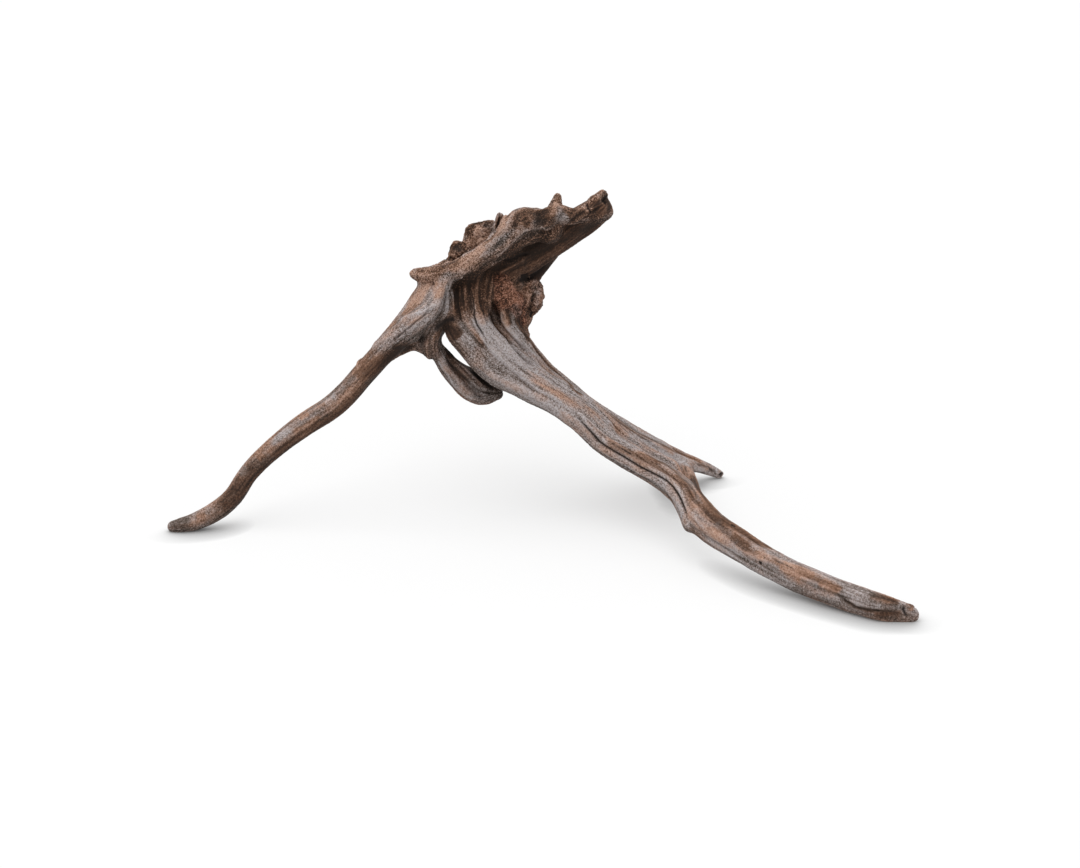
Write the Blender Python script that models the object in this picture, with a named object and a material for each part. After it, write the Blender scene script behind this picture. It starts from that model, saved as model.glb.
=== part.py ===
"""Sinker wood: a weathered driftwood root that stands on three toes.

The root is built the way it grew, as a bundle of woody strands. Each strand is a bevelled curve with
its own thickness along its length. The strands are fused into one skin, cut flat where the toes rest,
and sawn at the main forks into the pieces that the object is made of.
Strand places and radii are in millimetres, with the floor at height 0.
"""
import math

import bmesh
import bpy
from mathutils import Matrix, Vector

MM = 0.001
FUSE_VOXEL = 2.5 * MM      # finest form that the fused skin keeps
SMOOTH_PASSES = 4
FACES_KEPT = 0.2           # share of the fused skin's faces that stay after thinning
SAW_GAP = 0.3 * MM         # play left by each saw cut between two pieces
TRIM_BLOCK = (1, 1, 0.06)  # size of the block that trims the toes flat, in metres

# Each strand is a list of (x, y, z, radius) in millimetres, from its root to its tip.
LEFT_LEG = [(-249, -15, 2.6, 4.4), (-242, -15, 3, 5.2), (-234, -14, 5, 5.7), (-217, -12, 12, 6.2),
            (-207, -9, 20, 6), (-194, -4, 37, 6.2), (-174, 1, 56, 6.6), (-158, 5, 67, 7.6),
            (-137, 10, 81, 8), (-117, 16, 102, 8), (-103, 20, 116, 8.5), (-91, 24, 126, 9.5),
            (-79, 29, 137, 10.5)]
SHOULDER = {
    "back": [(-105, 22, 115, 6.7), (-92, 28, 130, 6.2), (-82, 32, 143, 6.4), (-72, 38, 156, 7)],
    "front": [(-105, 18, 116, 6.7), (-93, 17, 126, 7.3), (-81, 16, 136, 7.6), (-72, 17, 144, 6.6),
              (-67, 19, 153, 5.3), (-63, 22, 162, 5.3)],
    "flap": [(-99, 24, 115, 5.3), (-89, 20, 122, 5), (-82, 18, 125, 4)],
    "under": [(-105, 30, 106, 5.4), (-94, 33, 112, 5.7), (-84, 33, 115, 5.4), (-76, 32, 113, 6)],
}
HANGING_ROOT = {
    "neck": [(-62, 26, 140, 4.7), (-69, 26, 131, 4.7), (-74, 27, 120, 5.3), (-73, 29, 110, 5.4)],
    "strap": [(-68, 36, 127, 5.4), (-68, 34, 115, 5.8), (-63, 33, 101, 7), (-55, 34, 89, 7.8),
              (-46, 35, 80, 7.8), (-37, 37, 75.5, 7), (-30, 38, 75, 4.6)],
    "inner lip": [(-66, 38, 112, 4), (-57, 41, 102, 3.8), (-49, 42, 96, 3.8), (-41, 42, 89, 3.8),
                  (-33, 41, 81, 3.6)],
}
CROWN = {
    "front rim": [(-84, 34, 163, 2.6), (-74, 30, 163, 5.3), (-57, 23, 169, 5.9), (-47, 21, 176, 5.9),
                  (-37, 20, 182, 6.2), (-26, 20, 190, 7.2), (-17, 21, 200, 8.3), (-9, 23, 204, 7.6),
                  (0, 25, 203, 6.6), (10, 29, 206, 6.4), (21, 34, 203, 5.5), (31, 39, 203, 4.8),
                  (39, 43, 204, 3.8)],
    "back rim": [(-85, 44, 161, 2.6), (-79, 50, 157, 4), (-71, 58, 155, 5.2), (-62, 66, 158, 5.5),
                 (-53, 70, 162, 6.1), (-41, 72, 169, 6.1), (-29, 72, 173, 6.1), (-16, 68, 179, 6.1),
                 (-3, 62, 185, 6), (10, 54, 191, 6)],
    "plate": [(-75, 42, 158, 5.3), (-61, 45, 160, 7.4), (-47, 46, 163, 8.7), (-32, 46, 168, 9.3),
              (-17, 46, 176, 10)],
    "core": [(-69, 34, 150, 9.3), (-56, 38, 149, 11.4), (-43, 40, 148, 12), (-29, 44, 150, 12),
             (-18, 45, 155, 9)],
    "back": [(-74, 48, 147, 8), (-59, 56, 143, 9.5), (-43, 60, 141, 10.2), (-27, 58, 144, 9.5)],
    "knob": [(-59, 66, 165, 5.6), (-57, 68, 169, 5), (-54, 70, 172, 3.8)],
    "chunk": [(-48, 73, 165, 7.5), (-44, 76, 173, 7.4), (-38, 76, 179, 7.6), (-31, 74, 180, 6.4)],
    "chunk tip": [(-38, 76, 178, 6), (-35, 76, 185, 4)],
    "long splinter": [(-29, 44, 180, 5), (-28, 45, 190, 4.4), (-25, 46, 199, 3)],
    "short splinter": [(-23, 36, 190, 5), (-22, 38, 199, 3.2)],
    "crest": [(-19, 30, 200, 5.3), (-12, 28, 206, 4.8), (-3, 30, 206, 4)],
    "apron": [(-58, 34, 162, 7), (-42, 30, 171, 6.5), (-27, 31, 181, 7.5), (-12, 33, 191, 8.5),
              (6, 36, 196, 7.5)],
    "basin": [(-74, 50, 152, 6), (-60, 57, 152, 8), (-44, 60, 155, 9.5), (-28, 60, 160, 9.5),
              (-13, 57, 168, 8.5), (0, 53, 178, 7.5)],
    "hollow back": [(-33, 48, 147, 11), (-24, 46, 136, 10), (-20, 44, 124, 10)],
}
FLUTES = {
    "far left": [(-56, 38, 165, 3.6), (-59, 31, 156, 3.4), (-58, 27, 143, 3.2), (-54, 24, 130, 3.6)],
    "left": [(-48, 39, 167, 3.6), (-51, 30, 158, 3.4), (-51, 23, 144, 3.2), (-46, 17, 132, 3.2),
             (-38, 13, 123, 3.3)],
    "middle": [(-39, 40, 168, 3.8), (-43, 29, 158, 3.4), (-43, 21, 146, 3.5), (-38, 17, 135, 4)],
    "right": [(-32, 40, 164, 4.2), (-35, 30, 153, 4), (-36, 22, 141, 4)],
}
BURL = [(-9, 51, 146, 9.5), (-9, 51, 139, 11.8), (-6, 52, 133, 9.4), (-10, 49, 125, 7.4), (-13, 45, 117, 5.5)]
UPPER_ARM = {
    "arm": [(-47, 42, 156, 9), (-29, 47, 161, 11.5), (-12, 51, 169, 13.2), (0, 52, 176, 12.8),
            (11, 51, 183.5, 11.6), (21, 50, 191, 10.6), (32, 48, 199, 10.2), (41, 47, 206, 9.4)],
    "horn": [(8, 37, 195, 9), (11, 39, 204, 7), (12, 40, 210, 5), (12, 40, 214.5, 3.2)],
    "saddle": [(14, 40, 202, 4.8), (21, 42, 203, 4.2), (28, 44, 206, 4.4)],
    "stub tip": [(34, 46, 206, 6.6), (38, 46, 211, 5.4), (41, 46, 214.5, 3.8)],
    "stub side": [(39, 45, 201, 7.3), (45, 45, 205, 5)],
    "underside": [(14, 52, 180, 7), (3, 53, 168, 6.4), (-4, 53, 159, 6)],
}
TRUNK = {
    "top ridge": [(-23, 38, 146, 4), (-23, 33, 137, 4), (-19, 32, 126, 4.7), (-14, 34, 118, 5.7),
                  (3, 38, 93, 6.1), (16, 42, 78, 6.1), (38, 48, 59, 6.2), (66, 57, 36, 6.2),
                  (95, 64, 17, 6.2)],
    "middle ridge": [(-40, 20, 134, 6), (-32, 18, 124, 6.3), (-21, 17, 113, 6.6), (-8, 18, 101, 6.6),
                     (7, 20, 89, 6.6), (26, 24, 76, 6.6), (45, 28, 61, 6.3), (64, 34, 45, 6.1),
                     (82, 42, 32, 6.2), (97, 50, 20, 5.5)],
    "front ridge": [(-57, 27, 134, 6), (-55, 24, 128, 7.5), (-45, 20, 116, 8), (-33, 16, 102, 8.5),
                    (-15, 14, 92, 8.6), (11, 10, 80, 8.6), (25, 6, 72, 8.5), (42, -2, 58, 8),
                    (57, -9, 51, 8), (70, -18, 46, 8), (83, -31, 42, 7.6), (90, -41, 39, 7.2),
                    (96, -53, 33, 6), (98, -62, 25, 4.2)],
    "heart": [(-47, 36, 137, 12), (-38, 34, 121, 14), (-26, 33, 108, 13.2), (-12, 31, 96, 12),
              (3, 28, 84, 10), (20, 26, 73, 9.4), (37, 25, 60, 8.8), (54, 24, 47, 8.1),
              (71, 22, 36, 8), (87, 14, 30, 8)],
    "back": [(-27, 52, 117, 11.5), (-14, 50, 98, 10.6), (3, 47, 81, 8.8), (24, 46, 67, 8),
             (48, 46, 50, 7.4), (72, 48, 33, 7), (92, 50, 21, 6)],
}
# The trunk flattens into a web between its front and back edges, which spread apart towards the fork.
WEB_FRONT = [(18, 9, 74, 7), (34, 4, 63, 7), (48, -2, 54, 7), (62, -10, 48, 7.4), (76, -22, 42, 7.4),
             (86, -33, 38, 7.4), (93, -44, 34, 7)]
WEB_BACK = [(14, 42, 74, 7), (30, 45, 61, 7), (46, 49, 48, 6.6), (60, 52, 38, 6.6), (74, 56, 28, 6.4),
            (86, 60, 20, 6.2), (96, 60, 15, 5.6)]
# The web's free edge runs across between the prong and the right leg.
WEB_EDGE = [(96, 56, 15, 5.4), (96, 30, 19, 5.6), (96, 5, 24, 6), (96, -20, 29, 6.6), (97, -42, 33, 8)]
WEB_STRANDS = 9
WEB_SAG = 3                # how far the middle of the web hangs below its edges
PRONG = [(78, 60, 28, 6), (95, 63, 17.5, 5.8), (109, 66, 10.4, 5), (118, 70, 4.8, 4.3),
         (125, 72, 1.5, 3.7)]
RIGHT_LEG = {
    "leg": [(67, 8, 39, 6.7), (82, -6, 36, 8), (94, -34, 34, 9.2), (102, -56, 30.5, 10.4),
            (110, -72, 26.5, 10.1), (125, -86, 21.5, 9.8), (143, -100, 16.5, 9.6), (161, -113, 11.5, 9.5),
            (179, -127, 8.2, 9.1), (194, -135, 6.9, 8.4), (209, -144, 6, 7.6), (220, -148, 4.8, 6.6),
            (229, -151, 4, 5.6), (232, -152, 4, 4)],
    "toe": [(222, -146, 6.5, 4.8), (231, -150, 6, 4.2)],
}

# A saw cut is its centre, the direction square to the cut, and its reach, in millimetres.
SAW_CUTS = {
    "left leg": ((-108, 18, 110), (0.62, 0.16, 0.77), 44),
    "hanging root": ((-66, 32, 106), (0.3, 0.05, -0.95), 30),
    "upper arm": ((5, 44, 186), (0.9, 0.05, 0.43), 70),
    "trunk": ((-29, 34, 117), (0.15, 0, -0.99), 64),
    "prong": ((104, 63, 12.5), (0.86, 0.2, -0.46), 26),
    "right leg": ((97, -46, 34), (0.35, -0.93, -0.1), 44),
}
# A point well inside each piece, by which it is told apart once the cuts are made.
PIECES = {
    "crown": (-45, 42, 152),
    "left_leg": (-174, 1, 56),
    "trunk": (11, 28, 80),
    "hanging_root": (-58, 33, 94),
    "upper_arm": (25, 44, 196),
    "right_leg": (143, -100, 16),
    "prong": (112, 68, 8),
}
WOOD = {"colour": (0.27, 0.215, 0.185), "roughness": 0.85, "metallic": 0}
WOOD_TINTS = {"crown": 0.9, "left_leg": 0.85, "hanging_root": 0.7, "upper_arm": 1.05}


def add_strand(name, stations):
    """A round, tapering strand through its stations, as a bevelled curve."""
    curve = bpy.data.curves.new(name, "CURVE")
    curve.dimensions = "3D"
    curve.resolution_u = 5
    curve.bevel_depth = MM
    curve.bevel_resolution = 3
    curve.use_fill_caps = True
    spline = curve.splines.new("BEZIER")
    spline.radius_interpolation = "CARDINAL"
    spline.bezier_points.add(len(stations) - 1)
    for point, (x, y, z, radius) in zip(spline.bezier_points, stations):
        point.co = Vector((x, y, z)) * MM
        point.radius = radius
        point.handle_left_type = "AUTO"
        point.handle_right_type = "AUTO"
    strand = bpy.data.objects.new(name, curve)
    bpy.context.scene.collection.objects.link(strand)
    return strand


def evaluated_mesh(thing):
    bpy.context.view_layer.update()
    depsgraph = bpy.context.evaluated_depsgraph_get()
    return bpy.data.meshes.new_from_object(thing.evaluated_get(depsgraph))


def add_round_end(bm, place, radius):
    """A round end, so that a strand doesn't stop in a flat disc."""
    matrix = Matrix.Translation(Vector(place) * MM)
    bmesh.ops.create_icosphere(bm, subdivisions=2, radius=radius * MM, matrix=matrix)


def web_strands():
    """Strands side by side from the web's front edge to its back edge."""
    strands = []
    for index in range(WEB_STRANDS):
        share = (index + 0.5) / WEB_STRANDS
        sag = Vector((0, 0, -WEB_SAG * math.sin(math.pi * share), 0))
        pairs = zip(WEB_FRONT, WEB_BACK)
        strands.append([Vector(front).lerp(Vector(back), share) + sag for front, back in pairs])
    return strands


def gather_strands():
    """All strands in one mesh, still overlapping."""
    bm = bmesh.new()
    groups = [SHOULDER, HANGING_ROOT, CROWN, FLUTES, UPPER_ARM, TRUNK, RIGHT_LEG]
    strands = [stations for group in groups for stations in group.values()]
    strands += [LEFT_LEG, BURL, PRONG, WEB_EDGE] + web_strands()
    for stations in strands:
        strand = add_strand("strand", stations)
        mesh = evaluated_mesh(strand)
        bm.from_mesh(mesh)
        for x, y, z, radius in (stations[0], stations[-1]):
            add_round_end(bm, (x, y, z), radius)
        bpy.data.objects.remove(strand)
        bpy.data.meshes.remove(mesh)
    return bm


def object_from(bm, name):
    mesh = bpy.data.meshes.new(name)
    bm.to_mesh(mesh)
    bm.free()
    thing = bpy.data.objects.new(name, mesh)
    bpy.context.scene.collection.objects.link(thing)
    return thing


def replace_mesh(thing):
    """Keep what the modifiers make of the mesh, and drop the modifiers."""
    mesh = evaluated_mesh(thing)
    thing.modifiers.clear()
    thing.data = mesh


def fuse(thing):
    """One closed skin over all strands, with only the faces that its forms need."""
    skin = thing.modifiers.new("fuse", "REMESH")
    skin.mode = "VOXEL"
    skin.voxel_size = FUSE_VOXEL
    settle = thing.modifiers.new("settle", "SMOOTH")
    settle.factor = 0.5
    settle.iterations = SMOOTH_PASSES
    thin = thing.modifiers.new("thin", "DECIMATE")
    thin.ratio = FACES_KEPT
    replace_mesh(thing)


def box_cutter(name, matrix, size):
    bm = bmesh.new()
    bmesh.ops.create_cube(bm, size=1, matrix=matrix @ Matrix.Diagonal((*size, 1)))
    cutter = object_from(bm, name)
    cutter.hide_render = True
    cutter.display_type = "WIRE"
    return cutter


def cut_away(thing, cutters):
    for cutter in cutters:
        cut = thing.modifiers.new(cutter.name, "BOOLEAN")
        cut.operation = "DIFFERENCE"
        cut.solver = "EXACT"
        cut.use_self = True
        cut.object = cutter
    replace_mesh(thing)
    for cutter in cutters:
        bpy.data.objects.remove(cutter)


def floor_cutter():
    return box_cutter("floor", Matrix.Translation((0, 0, -TRIM_BLOCK[2] / 2)), TRIM_BLOCK)


def saw_cutter(name, centre, direction, reach):
    turn = Vector(direction).to_track_quat("Z", "Y").to_matrix().to_4x4()
    place = Matrix.Translation(Vector(centre) * MM)
    return box_cutter(name, place @ turn, (reach * MM, reach * MM, SAW_GAP))


def loose_pieces(mesh):
    """The closed skins that the cuts left, each as its own bmesh, largest first."""
    whole = bmesh.new()
    whole.from_mesh(mesh)
    unseen = set(whole.faces)
    groups = []
    while unseen:
        front = [unseen.pop()]
        group = list(front)
        while front:
            near = {other for edge in front.pop().edges for other in edge.link_faces} & unseen
            unseen -= near
            group.extend(near)
            front.extend(near)
        groups.append(group)
    pieces = []
    for group in sorted(groups, key=len, reverse=True):
        keep = {vert.index for face in group for vert in face.verts}
        piece = bmesh.new()
        piece.from_mesh(mesh)
        piece.verts.ensure_lookup_table()
        spare = [vert for vert in piece.verts if vert.index not in keep]
        bmesh.ops.delete(piece, geom=spare, context="VERTS")
        pieces.append(piece)
    whole.free()
    return pieces


def distance_to(bm, place):
    return min((vert.co - place).length for vert in bm.verts)


def name_pieces(bodies):
    """Give each named piece the skin that lies nearest round its inside point."""
    named = {}
    for name, inside in PIECES.items():
        place = Vector(inside) * MM
        named[name] = min(bodies, key=lambda body: distance_to(body, place))
    return named


def wood_material(name):
    material = bpy.data.materials.new(name + "_wood")
    material.use_nodes = True
    tint = WOOD_TINTS.get(name, 1)
    shader = material.node_tree.nodes["Principled BSDF"]
    shader.inputs["Base Color"].default_value = (*(tint * channel for channel in WOOD["colour"]), 1)
    shader.inputs["Roughness"].default_value = WOOD["roughness"]
    shader.inputs["Metallic"].default_value = WOOD["metallic"]
    return material


def centre_on_floor(pieces):
    """Put the origin under the middle of the whole root's box."""
    corners = [vert.co for piece in pieces for vert in piece.data.vertices]
    middle = [(min(c[axis] for c in corners) + max(c[axis] for c in corners)) / 2 for axis in (0, 1)]
    shift = Matrix.Translation((-middle[0], -middle[1], 0))
    for piece in pieces:
        piece.data.transform(shift)
    return middle


def build_root():
    root = object_from(gather_strands(), "root")
    fuse(root)
    cut_away(root, [floor_cutter()])
    cut_away(root, [saw_cutter(name, *cut) for name, cut in SAW_CUTS.items()])
    bodies = loose_pieces(root.data)
    named = name_pieces(bodies)
    print(len(bodies), "skins after the cuts")
    pieces = []
    for name, body in named.items():
        bmesh.ops.triangulate(body, faces=body.faces[:])
        piece = object_from(body, name)
        piece.data.materials.append(wood_material(name))
        piece.data.shade_smooth()
        piece.data.set_sharp_from_angle(angle=0.9)
        pieces.append(piece)
    bpy.data.objects.remove(root)
    middle = centre_on_floor(pieces)
    print("middle of the box:", [round(value / MM, 2) for value in middle])
    for piece in pieces:
        print(piece.name, len(piece.data.polygons))


for old in list(bpy.data.objects):
    bpy.data.objects.remove(old, do_unlink=True)
build_root()
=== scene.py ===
import math

import bpy
import numpy as np
from mathutils import Matrix, Vector, noise
from mathutils.bvhtree import BVHTree
from mathutils.kdtree import KDTree


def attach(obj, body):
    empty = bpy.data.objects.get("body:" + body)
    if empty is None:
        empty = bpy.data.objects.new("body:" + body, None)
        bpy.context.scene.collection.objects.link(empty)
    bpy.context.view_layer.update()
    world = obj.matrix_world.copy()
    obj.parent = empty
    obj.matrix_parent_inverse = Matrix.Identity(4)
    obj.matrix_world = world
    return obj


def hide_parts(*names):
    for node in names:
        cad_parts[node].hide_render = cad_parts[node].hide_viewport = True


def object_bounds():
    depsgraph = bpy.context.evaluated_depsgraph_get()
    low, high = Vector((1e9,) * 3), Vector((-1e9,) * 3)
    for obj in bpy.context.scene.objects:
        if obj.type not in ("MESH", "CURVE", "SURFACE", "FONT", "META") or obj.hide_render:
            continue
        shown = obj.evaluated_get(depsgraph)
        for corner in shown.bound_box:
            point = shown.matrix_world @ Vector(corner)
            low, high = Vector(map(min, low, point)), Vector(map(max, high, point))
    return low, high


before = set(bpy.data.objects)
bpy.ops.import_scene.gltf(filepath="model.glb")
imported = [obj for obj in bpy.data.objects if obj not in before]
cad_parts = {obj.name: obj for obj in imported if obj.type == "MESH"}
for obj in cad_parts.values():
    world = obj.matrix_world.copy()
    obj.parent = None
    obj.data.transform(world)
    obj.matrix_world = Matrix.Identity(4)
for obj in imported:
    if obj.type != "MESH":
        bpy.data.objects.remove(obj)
cadBox = [list(corner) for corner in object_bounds()]

# Strand places are in millimetres, floor at height 0, measured from a point near the root's middle.
survey = {"mm": 0.001, "middleX": -8.84, "middleY": -36.07, "seed": 7}

photoView = {"width": 1080, "height": 868, "aimU": 540, "aimV": 434, "focalPixels": 2550,
             "tilt": 22, "distance": 1700, "aimHeight": 62, "sensor": 36}

skin = {"voxel": 0.74, "settle": 4, "settleShare": 0.5, "fillRounds": 14, "fillPasses": 8,
        "fillShare": 1.3, "fillEase": 0.12, "levelPasses": 110, "levelShare": 0.85, "facingPasses": 30,
        "regionPasses": 14}

# Each strand is a list of (x, y, z, radius), from its root to its tip. Each mark is drawn on the wood as the
# camera sees it: its kind, half width, depth or strength, and its path in photoView's pixels.
# The shade and dark marks are painted shade and painted shadow in gaps, holes, edges and undersides, the
# light marks are painted highlight, the grey marks make the wood greyer and add painted shade on lower faces,
# and the pale marks make the wood paler, which is painted highlight where they follow thin ridges.
leftLeg = {
    "node": "left_leg",
    "inside": (-174, 1, 56),
    "seam": {"at": (-108, 18, 110), "square": (0.62, 0.16, 0.77), "reach": 24},
    "strands": {
        "thinLeg": [(-245.5, -19, 3, 4.4), (-240, -18.5, 3.8, 5.4), (-232, -17, 5.2, 6.1),
                    (-217, -13, 11.5, 6.8), (-206.5, -9.5, 19.5, 6.7), (-194, -4, 36.5, 6.7),
                    (-173.5, 1, 55.2, 7.1), (-157.5, 5, 66.4, 7.8), (-136, 10, 80.2, 8.2),
                    (-116, 16, 100.6, 8), (-102.3, 20, 114.8, 8.3), (-91, 24, 125.2, 9),
                    (-79, 29, 137, 10.2)],
    },
    "marks": [
        ("shade", 4.5, 0.55, [(205, 523), (222, 512), (238, 498), (250, 482), (262, 468), (282, 452),
                              (310, 433), (345, 407), (370, 380), (388, 362)]),
        ("shade", 7, 0.55, [(214, 510), (226, 503), (240, 489), (252, 475), (262, 464)]),
        ("shade", 3.4, 0.5, [(268, 462), (286, 446), (308, 431), (326, 418)]),
        ("shade", 6, 0.9, [(358, 380), (372, 369), (388, 359), (402, 350), (410, 345)]),
        ("shade", 4, 1.2, [(392, 350), (402, 347), (411, 349)]),
        ("light", 5, 0.5, [(278, 437), (296, 424), (315, 411)]),
        ("grey", 6, 0.6, [(330, 398), (345, 385), (358, 372)]),
        ("grey", 6, 1, [(163, 524), (176, 523), (190, 520)]),
        ("shade", 6, 0.35, [(163, 524), (176, 523), (190, 520)]),
        ("warm", 2.6, 0.9, [(299, 419), (304, 416), (309, 413)]),
        ("warm", 2.4, 0.7, [(258, 460), (264, 454)]),
        ("warm", 3, 0.6, [(196, 517), (206, 515)]),
        ("warm", 3, 0.4, [(350, 375), (366, 361), (380, 350)]),
        ("light", 3.4, 1, [(384, 329), (394, 319), (403, 310), (411, 299)]),
        ("pale", 3, 0.8, [(240, 476), (247, 467)]),
        ("pale", 3, 0.9, [(270, 444), (278, 437), (291, 427)]),
        ("pale", 3.4, 0.8, [(324, 404), (336, 394)]),
        ("ridge", 3.4, 1.2, [(354, 365), (360, 362)]),
    ],
}

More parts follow.
